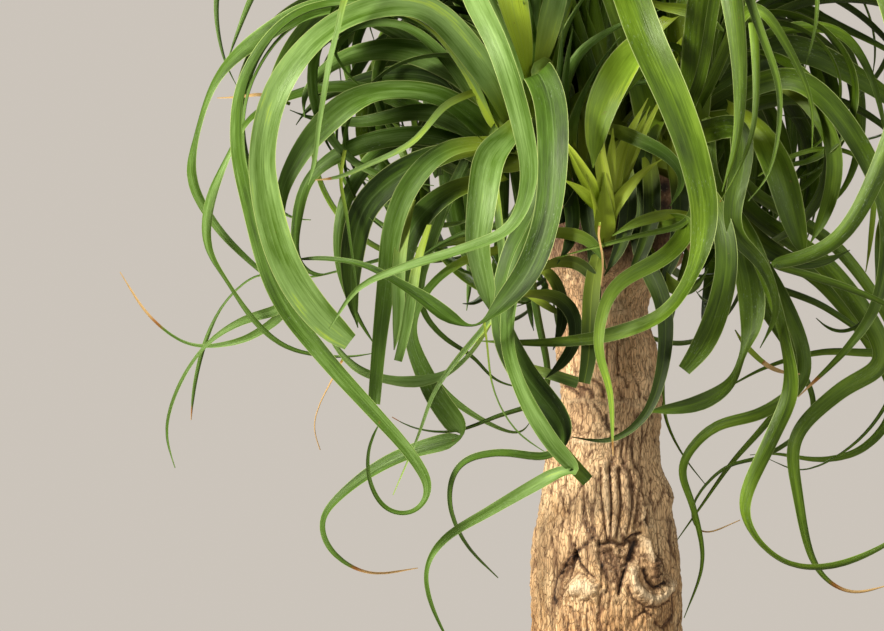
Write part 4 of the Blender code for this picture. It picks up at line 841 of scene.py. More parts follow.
for name, strands in STRANDS.items():
    plant.leaves[name] = [leaf for leaf in plant.leaves[name] if leaf[0] not in strands]
    for leaf_name, (nears, *route) in strands.items():
        plant.leaves[name].append((leaf_name, *routed_leaf(name, nears, route, None, 0, 0)))
print("strands:", {name: len(strands) for name, strands in STRANDS.items()})

# %% [markdown]
# The rest of the head is drawn at random with a fixed seed: leaves that rise, arch over, hang and curl
# inward. They keep inside the head's outline and leave the open background free, so that they thicken the
# back and the middle of the plant without changing its shape.

# %% Leaves behind and between the traced ones
SPARE_LEAVES = {"crown_back": 21, "crown_right": 8, "crown_left": 7}
SPARE_DIRECTIONS = {"crown_back": (10, 170), "crown_right": (-40, 100), "crown_left": (80, 220)}
SPARE_LENGTHS = (0.36, 0.66)
SPARE_WIDTHS = (0.012, 0.021)
SPARE_RISES = (35, 84)
SPARE_TURNS = (150, 290)
SPARE_SWINGS = (-70, 70)
SPARE_EARLY_TURNS = (0.9, 1.7)
SPARE_TRIES = 70
SPARE_SEED = 11
SPARE_STEPS = 44
LOWEST_ROOT = 0.25
HIGHEST_ROOT = 0.95
HEAD_MIDDLE = (0.0, 0.0, 0.880)
HEAD_SIZE = (0.315, 0.300, 0.245)
SEEN_HEAD_MIDDLE = (-0.030, 0.0, 0.896)
SEEN_HEAD_SIZE = (0.252, 1.0, 0.236)
VIEW_TOP = 0.939
VIEW_RIGHT = 0.199
BEFORE_TRUNK = -0.045


def spare_leaf(draw, name, directions, lengths, widths):
    """A leaf that rises from its stem, arches over, hangs and curls inward, drawn at random."""
    _, foot, tip = stem_points(name)
    heading = math.radians(draw.uniform(*directions))
    outward = Vector((math.cos(heading), math.sin(heading), 0))
    height = draw.uniform(LOWEST_ROOT, HIGHEST_ROOT)
    root = foot.lerp(tip, height) + outward * ROOT_OFFSET * STEMS[name]["radius"]
    rise = math.radians(draw.uniform(*SPARE_RISES))
    turn = math.radians(draw.uniform(*SPARE_TURNS))
    swing = math.radians(draw.uniform(*SPARE_SWINGS))
    early = draw.uniform(*SPARE_EARLY_TURNS)
    length = draw.uniform(*lengths)
    twist = math.radians(draw.uniform(*SPARE_SWINGS))
    widest = draw.uniform(*widths)
    points = [np.array(root)]
    across = []
    for step in range(SPARE_STEPS + 1):
        s = step / SPARE_STEPS
        pitch = rise - turn * s ** early
        yaw = heading + swing * s * s
        flat = math.cos(pitch)
        forward = np.array((flat * math.cos(yaw), flat * math.sin(yaw), math.sin(pitch)))
        level = np.array((-math.sin(yaw), math.cos(yaw), 0))
        lean = twist * s * s
        across.append(math.cos(lean) * level + math.sin(lean) * np.cross(forward, level))
        if step < SPARE_STEPS:
            points.append(points[-1] + forward * length / SPARE_STEPS)
    shares = np.linspace(0, 1, SPARE_STEPS + 1)
    return np.array(points), unit(np.array(across)), np.maximum(strap_width(shares, widest), THINNEST)


def inside(points, middle, size):
    return np.sum(((points - np.array(middle)) / np.array(size)) ** 2, axis=1) < 1


def shows_in_the_open(points, middle, size):
    """Which points the picture shows, and which of them lie outside an oval of the given middle and size."""
    seen = (points[:, 2] < VIEW_TOP) & (points[:, 0] < VIEW_RIGHT)
    return seen, seen & ~inside(points, middle, size)


def keeps_to_head(points):
    """True for a leaf inside the head's outline that leaves the view's open background free."""
    seen, open_ground = shows_in_the_open(points, SEEN_HEAD_MIDDLE, SEEN_HEAD_SIZE)
    before_trunk = seen & (points[:, 1] < BEFORE_TRUNK)
    return bool(inside(points, HEAD_MIDDLE, HEAD_SIZE).all() and not (open_ground | before_trunk).any())


def drawn_leaf(draw, name, directions, lengths, widths, tries, keeps, may_touch):
    """The first leaf drawn that keeps its place and crosses nothing, or else the one that crosses least.

    A leaf that may not touch crosses no other crown, stem or trunk in any case.
    """
    best = None
    for _ in range(tries):
        leaf = spare_leaf(draw, name, directions, lengths, widths)
        if not keeps(leaf[0]):
            continue
        others, own = plant.crossings(name, *leaf)
        if others and not may_touch:
            continue
        if best is None or others + own < best[0]:
            best = (others + own, leaf)
        if best[0] == 0:
            break
    return best and best[1]


def thicken(seed, wanted, directions, *settings):
    """Add as many leaves to each crown as are wanted and find a place."""
    draw = random.Random(seed)
    for name, count in wanted.items():
        for _ in range(count):
            leaf = drawn_leaf(draw, name, directions[name], *settings)
            if leaf:
                plant.add(name, "spare", leaf)
    print("leaves now:", {name: len(leaves) for name, leaves in plant.leaves.items()})


thicken(SPARE_SEED, SPARE_LEAVES, SPARE_DIRECTIONS, SPARE_LENGTHS, SPARE_WIDTHS, SPARE_TRIES,
        keeps_to_head, False)

# %% [markdown]
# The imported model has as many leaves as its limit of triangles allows. The real head is denser, so more
# leaves fill it here. They may touch, since nothing is cut from them, but they keep to the middle of the head
# and off the front of the trunk.

# %% More leaves inside the head
EXTRA_LEAVES = {"crown_left": 40, "crown_right": 44, "crown_back": 40}
EXTRA_DIRECTIONS = {"crown_left": (70, 300), "crown_right": (-110, 110), "crown_back": (0, 180)}
EXTRA_LENGTHS = (0.26, 0.58)
EXTRA_WIDTHS = (0.014, 0.025)
EXTRA_SEED = 29
EXTRA_TRIES = 60
INNER_MIDDLE = (-0.013, 0.0, 0.8816)
INNER_SIZE = (0.200, 1.0, 0.190)
TRUNK_COVER = (-0.075, 0.055, 0.790)
TRUNK_COVER_BACK = 0.02
NEAREST_EXTRA = -0.060


def keeps_inside(points):
    """True for a leaf inside the head that shows only before the head's middle, and not before the trunk."""
    _, open_ground = shows_in_the_open(points, INNER_MIDDLE, INNER_SIZE)
    low, high, top = TRUNK_COVER
    on_trunk = (points[:, 0] > low) & (points[:, 0] < high) & (points[:, 2] < top)
    on_trunk &= points[:, 1] < TRUNK_COVER_BACK
    unwanted = open_ground | on_trunk | (points[:, 1] < NEAREST_EXTRA)
    return bool(inside(points, HEAD_MIDDLE, HEAD_SIZE).all() and not unwanted.any())


thicken(EXTRA_SEED, EXTRA_LEAVES, EXTRA_DIRECTIONS, EXTRA_LENGTHS, EXTRA_WIDTHS, EXTRA_TRIES,
        keeps_inside, True)

# %% [markdown]
# ## The finished leaf
# Each leaf's line is drawn again every few millimetres, eased, and skinned with a thin closed section: a
# shallow channel with a small groove along the midrib, and edges half as thick as the middle. Points are
# spent where the leaf bends. The section's place on the leaf is stored with every point, across, along and as
# a share of the length, so that veins, pale edges and dry tips can follow the blade however it curls.

# %% The section and skin of a leaf
EVEN_STEP = 0.003
FEWEST_STEPS = 24
EASE = 0.007
DEPTH_EASE = 0.018
SECTION_STEP = 0.0085
SECTION_BEND = 0.12
UPPER = (-1, -0.70, -0.34, 0, 0.34, 0.70, 1)
LOWER = (0.70, 0.34, 0, -0.34, -0.70)
CHANNEL = 0.17
MIDRIB = 0.045
MIDRIB_SPREAD = 0.28
CLASP = 0.30
CLASP_LENGTH = 0.055
BASE_SPREAD = 0.55
MIDDLE_THICKNESS = 0.0006
EDGE_THICKNESS = 0.0003
NARROWEST_END = 0.0007
TIP_TAPER = 0.016
TIP_BLUNTNESS = 0.0004
PHASES = (0, 6.28)
SLOW_WAVES = (11, 19)
QUICK_WAVES = (29, 43)
LEAF_CREASE = math.radians(60)
STEM_PLACE = (0.5, 0.0, 0.0)
STEM_KIND = (0.2, 0.0, 0.5)
BLUNT = ("loose_end", "light_stub", "shoot_hanging", "big_left_arch", "pale_fold", "hanging_hook",
         "right_inner_hook")
FULLER = {
    "spare": 1.15, "dark_cup": 1.6, "inner_top": 1.2, "inner_dark": 1.25, "inner_low": 1.3,
    "curled_inner": 1.35, "c_shape": 1.3, "broad_inner_arch": 1.15, "right_round_bow": 1.3,
    "right_back_drop": 1.2, "front_long": 1.08, "right_s_curve": 1.25, "right_long_curl": 1.3,
    "right_back_bow": 1.3, "right_pale_tipped": 1.25, "right_flat_return": 1.3, "right_sweep": 1.15,
    "right_dark_drop": 1.2, "trunk_dark_hook": 1.3, "trunk_light_hook": 1.4, "right_front_wide": 1.2,
    "right_front_bent": 1.12, "shoot_right": 1.15, "shoot_tall": 1.15, "shoot_low_right": 1.2,
    "shoot_low_left": 1.1}


def eased(values, spread):
    """Values smoothed along the leaf, with both ends kept in place."""
    reach = int(3 * spread)
    kernel = np.exp(-0.5 * (np.arange(-reach, reach + 1) / spread) ** 2)
    kernel /= kernel.sum()
    before = 2 * values[0] - values[1:reach + 1][::-1]
    after = 2 * values[-1] - values[-reach - 1:-1][::-1]
    padded = np.concatenate([before, values, after])
    columns = [np.convolve(padded[:, axis], kernel, mode="valid") for axis in range(values.shape[1])]
    return np.stack(columns, axis=1)


def leaf_skin(leaf, draw, clasping, blunt):
    """Points and their places on the blade of a finished leaf. A broken leaf ends blunt."""
    points, across, widths = leaf
    along = distance_along(points)
    even = np.linspace(0, along[-1], max(FEWEST_STEPS, round(along[-1] / EVEN_STEP)))
    spread = EASE / EVEN_STEP
    line = eased(np.stack([np.interp(even, along, points[:, axis]) for axis in range(3)], axis=1), spread)
    line[:, 1:2] = eased(line[:, 1:2], min(DEPTH_EASE / EVEN_STEP, (len(line) - 1) / 3.5))
    sides = eased(np.stack([np.interp(even, along, across[:, axis]) for axis in range(3)], axis=1), spread)
    wide = np.interp(even, along, widths)
    tangents = unit(np.gradient(line, axis=0))
    sides = unit(sides - tangents * np.sum(sides * tangents, axis=1, keepdims=True))
    outs = np.cross(tangents, sides)
    bending = np.gradient(tangents, axis=0)
    first_half = slice(0, len(line) // 2)
    if np.sum(outs[first_half] * bending[first_half]) > 0:
        sides = -sides
        outs = -outs
    phase, slow = draw.uniform(*PHASES), draw.uniform(*SLOW_WAVES)
    other_phase, quick = draw.uniform(*PHASES), draw.uniform(*QUICK_WAVES)
    lean = 0.09 * np.sin(phase + slow * even) + 0.04 * np.sin(other_phase + quick * even)
    lean = lean[:, None]
    sides, outs = np.cos(lean) * sides + np.sin(lean) * outs, np.cos(lean) * outs - np.sin(lean) * sides
    base = np.exp(-(even / CLASP_LENGTH) ** 2) * clasping
    tip = 1 if blunt else np.minimum(1, (even[-1] - even + TIP_BLUNTNESS) / TIP_TAPER) ** 0.6
    wide = np.maximum(wide * (1 + BASE_SPREAD * base) * tip, NARROWEST_END)
    fold = CHANNEL * (1 + 0.35 * np.sin(phase + 9 * even)) + CLASP * base
    keep = places_to_cut(line, SECTION_STEP, SECTION_BEND)
    corners = UPPER + LOWER
    vertices = np.empty((len(keep), len(corners), 3))
    for corner, s in enumerate(corners):
        groove = MIDRIB * (1 - math.exp(-(s / MIDRIB_SPREAD) ** 2))
        lift = fold * (0.7 * s * s + 0.3 * abs(s)) + groove
        depth = 0
        if corner >= len(UPPER):
            depth = EDGE_THICKNESS + (MIDDLE_THICKNESS - EDGE_THICKNESS) * (1 - s * s)
        pull = s * (1 - 0.5 * fold * s * s)
        where = line + (pull * wide / 2)[:, None] * sides + (lift * wide / 2 - depth)[:, None] * outs
        vertices[:, corner] = where[keep]
    place = np.empty(vertices.shape)
    place[:, :, 0] = corners
    place[:, :, 1] = even[keep][:, None]
    place[:, :, 2] = (even[keep] / even[-1])[:, None]
    return vertices, place


def marked_piece(name, points, faces, marks):
    """A smooth new piece whose points carry named vectors for its finish to read."""
    mesh = bpy.data.meshes.new(name)
    mesh.from_pydata(points, [], faces)
    for attribute, values in marks.items():
        layer = mesh.attributes.new(attribute, "FLOAT_VECTOR", "POINT")
        layer.data.foreach_set("vector", np.asarray(values, np.float32).ravel())
    mesh.shade_smooth()
    piece = bpy.data.objects.new(name, mesh)
    bpy.context.scene.collection.objects.link(piece)
    return piece


def leaves_mesh(crown, stem_shape, leaves, kind_of, seed):
    """One crown as a single piece: its stem and all its leaves, with each point's place and kind."""
    draw = random.Random(seed)
    points, faces = [np.array(stem_shape[0])], [tuple(face) for face in stem_shape[1]]
    places = [np.tile(STEM_PLACE, (len(points[0]), 1))]
    kinds = [np.tile(STEM_KIND, (len(points[0]), 1))]
    count = len(points[0])
    for leaf_name, line, sides, widths in leaves:
        leaf = line, sides, widths * FULLER.get(leaf_name, 1)
        clasping = 0.0 if leaf_name in STRANDS.get(crown, ()) else 1.0
        vertices, place = leaf_skin(leaf, draw, clasping, leaf_name in BLUNT)
        faces += renumbered(skinned(vertices), count)
        points.append(vertices.reshape(-1, 3))
        places.append(place.reshape(-1, 3))
        kinds.append(np.tile(kind_of(leaf_name, draw), (len(points[-1]), 1)))
        count += len(points[-1])
    marks = {"blade_place": np.concatenate(places), "leaf_kind": np.concatenate(kinds)}
    piece = marked_piece(crown + "_leaves", np.concatenate(points).tolist(), faces, marks)
    piece.data.set_sharp_from_angle(angle=LEAF_CREASE)
    return piece


def triangles_in(piece):
    return sum(len(face.vertices) - 2 for face in piece.data.polygons)


arch = next(leaf[1:] for leaf in plant.leaves["crown_left"] if leaf[0] == "big_left_arch")
print("the big left arch has", len(leaf_skin(arch, random.Random(0), 0.0, True)[0]), "sections")

# %% [markdown]
# The leaf's finish is painted along the blade. Its colour runs from yellow-green at the clasping base through
# a deep green to a dry tip; parallel veins make fine light and dark lines; a narrow lighter band along the
# midrib is a painted highlight; the edges are thin and pale; old leaves carry dust and scars. The surface is
# waxy, with the gloss broken up by the veins. A little light passes through, which a translucent shader gives.

# %% Finish of the leaves
WAX_TINT = (0.86, 1.0, 0.60, 1)
SHINES_THROUGH = 0.15
PALE_RIM = (176, 190, 112)
YELLOW_BASE = (136, 152, 38)
DUST = (170, 184, 150)
SCAR = (120, 96, 48)
BURNT = (150, 84, 36)
STRAW = (196, 160, 104)


def leaf_finish(name, dark, middle, light, fresh, glow, streaks, base_reach, shine, gloss):
    """A strap leaf's finish. The five colours are as seen, and base_reach is the yellow base's length."""
    material, start, shader = new_finish(name, shine, Specular_IOR_Level=gloss, Specular_Tint=WAX_TINT)
    across, along, share = start.node("Attribute", {"attribute_name": "blade_place"}, output=1).parts()
    # The tone is each leaf's own colour, with painted shade on some leaves and painted light on others.
    tone_and_shading, dryness, seed = start.node("Attribute", {"attribute_name": "leaf_kind"}, output=1).parts()
    body_place = start.node("TexCoord", output=3)
    off_middle = abs(across)

    def along_the_blade(across_scale, along_scale, seed_across, seed_along, scale, detail, roughness):
        """Noise that is stretched along the blade and differs from leaf to leaf."""
        place = start.node("CombineXYZ", {}, {0: across * across_scale + seed * seed_across,
                                              1: along * along_scale, 2: seed * seed_along})
        return start.noise(place, scale, detail, roughness)

    veins = along_the_blade(6, 12, 61, 37, 1.2, 4, 0.7)
    fine_veins = along_the_blade(24, 16, 17, 53, 1.5, 2, 0.6)
    patches = along_the_blade(0.8, 13, 91, 29, 1.0, 4, 0.6)
    scratches = along_the_blade(10, 150, 23, 71, 1.6, 3, 0.7)

    shade = tone_and_shading + (patches - 0.5) * 1.7 + (veins - 0.5) * 0.85
    base = (along - (patches - 0.5) * 0.04).within(base_reach, 0.004) * tone_and_shading.within(-0.35, -0.15)
    dusty_places = start.noise(body_place, 26, detail=2).within(0.47, 0.60)
    dusty_leaves = tone_and_shading.within(1.0, 0.3) * tone_and_shading.within(0.1, 0.4)
    dust = scratches.within(0.58, 0.72) * dusty_places * dusty_leaves
    scars = start.noise(body_place, 150, detail=3, roughness=0.7).within(0.70, 0.77)
    dry = share + (veins - 0.5) * 0.05 - (1.03 - dryness * 0.13)
    burnt = dry.within(0.0, 0.012)
    feed(shader, "Base Color", (shade * 0.8).ramp(
        (0.0, dark), (0.40, middle), (0.80, light), (1.0, fresh)).stained(
            (fine_veins.within(0.48, 0.72) * tone_and_shading.within(-0.4, 0.7) * 0.22, light),
            (fine_veins.within(0.44, 0.28) * streaks, dark),
            # Painted highlight: a lighter band along the midrib.
            (off_middle.within(0.07, 0.01) * 0.22, light),
            (off_middle.within(0.93, 0.99) * 0.85, PALE_RIM),
            (base * 0.85, YELLOW_BASE),
            (dust * 0.60, DUST),
            (scars * 0.6, SCAR),
            (burnt * 0.9, BURNT),
            (dry.within(0.012, 0.035) * 0.9, STRAW)))
    feed(shader, "Roughness", shine + (veins - 0.5) * 0.25 + (fine_veins - 0.5) * 0.25 + dust * 0.2
         + burnt * 0.2 + (0.6 - tone_and_shading) * 0.16)
    grain = start.noise(body_place, 240, detail=2) * 0.15
    bumped(shader, veins * 0.5 + fine_veins * 0.5 + grain, 0.0006, 0.55)
    through = start.node("BsdfTranslucent", {}, {"Color": (*paint(*glow), 1)})
    waxy = Wire(start.tree, shader.outputs[0])
    mixed = start.node("MixShader", {}, {0: SHINES_THROUGH, 1: waxy, 2: through})
    feed(start.tree.nodes["Material Output"], "Surface", mixed)
    return material


LEAF_GREEN = leaf_finish("leaf green", (22, 36, 4), (76, 102, 12), (126, 156, 42), (176, 200, 50),
                         (104, 136, 22), streaks=0.34, base_reach=0.060, shine=0.40, gloss=0.44)
COOL_GREEN = leaf_finish("cool leaf green", (26, 42, 8), (74, 104, 26), (128, 158, 84), (176, 200, 56),
                         (100, 136, 30), streaks=0.34, base_reach=0.060, shine=0.42, gloss=0.36)
YOUNG_GREEN = leaf_finish("young leaf green", (44, 62, 8), (118, 142, 22), (190, 210, 66), (204, 216, 96),
                          (140, 166, 34), streaks=0.70, base_reach=0.090, shine=0.46, gloss=0.34)
print("leaf finishes:", LEAF_GREEN.name, "and", COOL_GREEN.name, "and", YOUNG_GREEN.name)

# %% [markdown]
# Round each crown's stem stand short upright blades: the newest leaves, still folded round each other, and
# the clasping feet of leaves that have been cut or shed. They are pale, because little light reached them.

# %% Young upright blades round the stems
SHEATHS = {"crown_left": 14, "crown_right": 14, "crown_back": 14, "front_shoot": 2}
SHEATH_SEED = 5
SHEATH_STEPS = 24


def sheath(draw, name):
    """A short blade that stands on a stem and leans outward towards its tip."""
    _, foot, tip = stem_points(name)
    radius = STEMS[name]["radius"]
    turn = draw.uniform(0, 2 * math.pi)
    outward = np.array((math.cos(turn), math.sin(turn), 0))
    axis = np.array(tuple((tip - foot).normalized()))
    start = np.array(tuple(foot.lerp(tip, draw.uniform(-0.05, 0.75)))) + outward * radius * 0.86
    length = draw.uniform(3.2, 7.5) * radius
    steps = np.linspace(0, 1, SHEATH_STEPS)[:, None]
    lean = draw.uniform(0.10, 0.55)
    points = start + axis * length * steps + outward * length * lean * steps ** 2.2
    sides = np.tile(np.cross(outward, axis), (SHEATH_STEPS, 1))
    widths = draw.uniform(0.75, 1.25) * radius * (1 - 0.94 * steps[:, 0] ** 1.3)
    return points, unit(sides), widths


draw = random.Random(SHEATH_SEED)
for name, wanted in SHEATHS.items():
    for _ in range(wanted):
        plant.leaves[name].append(("sheath", *sheath(draw, name)))
print("sheaths:", SHEATHS)

# %% [markdown]
# Every crown is one piece in place of the model's own node: the stem, the traced leaves, the ones behind and
# the sheaths. Each leaf has a tone, from dark below 0 to light above 1, and a dryness: 1 dries the last tenth
# of a leaf, and 7.5 nearly all of it.
# Some tones are painted light and shade: the dark cover leaves over the arms paint the shade inside the head,
# and the heart blades and the young shoot are lightened as painted light.

# %% The four leafy pieces
# Tones with painted shading: dark covers paint the head's inner shade, bright heart and shoot blades paint
# light.
LEAF_TONES_AND_PAINTED_SHADING = {
    "sheath": 0.6, "spare": 0.42, "big_left_arch": 0.8, "long_left_spiral": 0.48, "top_left_near": 0.55,
    "light_strip": 1.1, "broad_inner_arch": 0.5, "inner_dark": 0.15, "inner_top": 0.55, "inner_hook": 0.2,
    "hanging_hook": 0.55, "olive_hook": 0.3, "front_long": 0.62, "front_wide": 0.3, "front_hanging": 0.66,
    "dark_front": 0.3, "bright_front": 0.62, "brown_tipped": 0.45, "pale_fold": 0.6, "light_band": 0.75,
    "low_bow": 0.8, "thin_drop": 0.95, "left_whisker": 0.6, "left_drop": 0.55, "orange_tipped": 0.35,
    "trunk_loop": 0.05, "heart_left": 1.3, "heart_middle": 1.0, "heart_right": 0.95, "heart_back": 0.5,
    "centre_low": 0.3, "centre_bow": 0.35, "glossy_front": 0.85, "glossy_low": 0.75, "right_front_long": 0.5,
    "right_front_wide": 0.5, "right_sweep": 0.4, "right_low_hook": 0.35, "right_pale_tipped": 0.5,
    "trunk_light_hook": 0.78, "trunk_dark_hook": 0.0, "right_inner_curl": 0.4, "right_broad_drop": 0.35,
    "shoot_left": 0.95, "shoot_hanging": -0.2, "shoot_low_left": 0.85, "shoot_right": 0.95,
    "shoot_long_right": 0.9, "loose_end": 0.32, "loose_light": 0.75, "loose_yellow": 1.0,
    "loose_strand": 0.45, "loose_thread": 0.7, "dry_thread": 0.8, "dry_tip": 0.6, "dark_strand": 0.05,
    "light_stub": 0.85, "loose_bar": 0.6, "dry_bit": 0.9, "loose_gold": 0.7, "edge_hook": 0.35,
    "edge_curl": 0.85, "top_strip": 0.7, "shoot_sheath": 0.3, "heart_bright": 1.4, "heart_green": 0.75,
    "cover_near": 0.1, "cover_next": -0.05, "cover_bar": 0.35, "cover_hook": 0.05, "cover_back": -0.1,
    "cover_left": -0.1, "cover_right": 0.05, "cover_edge": -0.05, "cover_drop": 0.05, "cover_fold": 0.2,
    "right_broad_near": 0.5, "right_olive_drop": 0.55, "right_under": 0.2, "tan_thread": 0.5,
    "shoot_low_right": 0.8, "shoot_tall": 1.1, "blade_middle": 0.95, "blade_far": 0.9, "blade_side": 0.85,
    "trunk_edge": -0.05}
DRY_TIPS = {
    "sheath": 0.1, "spare": 0.1, "long_left_spiral": 0.3, "brown_tipped": 1.2, "left_whisker": 1.0,
    "left_drop": 0.2, "orange_tipped": 0.4, "right_pale_tipped": 1.0, "trunk_light_hook": 0.5,
    "right_inner_curl": 0.9, "loose_yellow": 0.9, "dry_thread": 7.5, "dry_tip": 7.5, "dry_bit": 7.5,
    "loose_gold": 4.0, "tan_thread": 7.5}
USUAL_TONE = 0.48
TONE_SPREAD = 0.14
NAMED_SPREAD = 0.4
DRY_SHARE = 0.15
DRYNESS = (0.3, 0.8)


def kind_of(leaf_name, draw):
    """How light the leaf is and how dry its tip, with a number of its own."""
    spread = draw.uniform(-TONE_SPREAD, TONE_SPREAD)
    dryness = draw.uniform(*DRYNESS) if draw.random() < DRY_SHARE else 0
    if leaf_name in LEAF_TONES_AND_PAINTED_SHADING:
        return LEAF_TONES_AND_PAINTED_SHADING[leaf_name] + spread * NAMED_SPREAD, DRY_TIPS.get(leaf_name, 0), draw.random()
    return USUAL_TONE + spread, dryness, draw.random()


CROWN_FINISH = {"crown_left": COOL_GREEN, "front_shoot": YOUNG_GREEN}
for seed, (name, leaves) in enumerate(plant.leaves.items()):
    piece = leaves_mesh(name, stem_shapes[name], leaves, kind_of, seed)
    piece.data.materials.append(CROWN_FINISH.get(name, LEAF_GREEN))
    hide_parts(name)
    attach(piece, "root")
    "young_leaf" if name == "front_shoot" else "leaf"
    print(piece.name, len(leaves), "leaves,", triangles_in(piece), "triangles")

# %% [markdown]
# ## The trunk
# The trunk of this palm is corky: long shallow fissures run up it, thin rings mark old leaf bases, and flakes
# lift between them. It could be painted with bump alone, but its outline would stay smooth. So the skin is a
# fine grid of points round the trunk, finest on its front, pushed in and out by ridges and knots.

# %% The trunk's round sections
TRUNK_SECTIONS = [
    (0.145, 0, 0.050), (0.180, 0, 0.074), (0.212, 0, 0.090), (0.240, 0, 0.0945), (0.275, 0, 0.088),
    (0.320, 0, 0.0735), (0.370, 0, 0.0625), (0.430, 0, 0.0570), (0.485, -0.0007, 0.0547),
    (0.521, -0.0011, 0.0544), (0.550, -0.0018, 0.0522), (0.579, -0.0014, 0.0468), (0.608, -0.0036, 0.0418),
    (0.651, 0.0018, 0.0364), (0.687, -0.0014, 0.0367), (0.718, -0.0040, 0.0335), (0.734, -0.004, 0.0390),
    (0.750, 0.003, 0.0500), (0.768, 0.002, 0.0500), (0.784, 0, 0.0400)]
TRUNK_TOP = 0.792
FRONT_SIDES = 150
BACK_SIDES = 82
FRONT_HALF = math.radians(86)
ROW_STEPS = [(0.145, 0.485, 0.0032), (0.485, 0.640, 0.0009), (0.640, 0.784, 0.0015)]


def trunk_section(height):
    """Sideways lean and radius of the trunk at a height, read smoothly between its sections."""
    heights, leans, radii = (np.array(column) for column in zip(*TRUNK_SECTIONS))
    span = int(np.clip(np.searchsorted(heights, height) - 1, 0, len(heights) - 2))
    step = heights[span + 1] - heights[span]
    s = (height - heights[span]) / step
    return [hermite(column, np.gradient(column, heights), span, step, s) for column in (leans, radii)]


def ramp(value, low, high):
    """0 below low and 1 above high, or the other way round when low is the larger."""
    s = np.clip((value - low) / (high - low), 0, 1)
    return s * s * (3 - 2 * s)


heights = np.concatenate([np.arange(*span) for span in ROW_STEPS] + [[TRUNK_SECTIONS[-1][0]]])
leans, radii = (np.array(column) for column in zip(*(trunk_section(height) for height in heights)))
front = np.linspace(-FRONT_HALF, FRONT_HALF, FRONT_SIDES, endpoint=False)
back = np.linspace(FRONT_HALF, 2 * math.pi - FRONT_HALF, BACK_SIDES, endpoint=False)
angles = (np.concatenate([front, back]) - math.pi / 2) % (2 * math.pi)
ANGLE, HEIGHT = np.meshgrid(angles, heights)
RADIUS = np.repeat(radii[:, None], len(angles), axis=1)
ROUND = ((ANGLE + 1.5 * math.pi) % (2 * math.pi) - math.pi) * RADIUS
print("trunk grid:", HEIGHT.shape)

# %% [markdown]
# Unrolled, the trunk is a sheet: distance round it from the front, and height. The knots, ribs and grooves
# that show are drawn on that sheet as short lines through places in the picture. Each row gives how deep the
# line sinks in millimetres, how wide it is in pixels, how dark and how pale it stains the bark, and its
# places. A line with a negative depth stands proud.

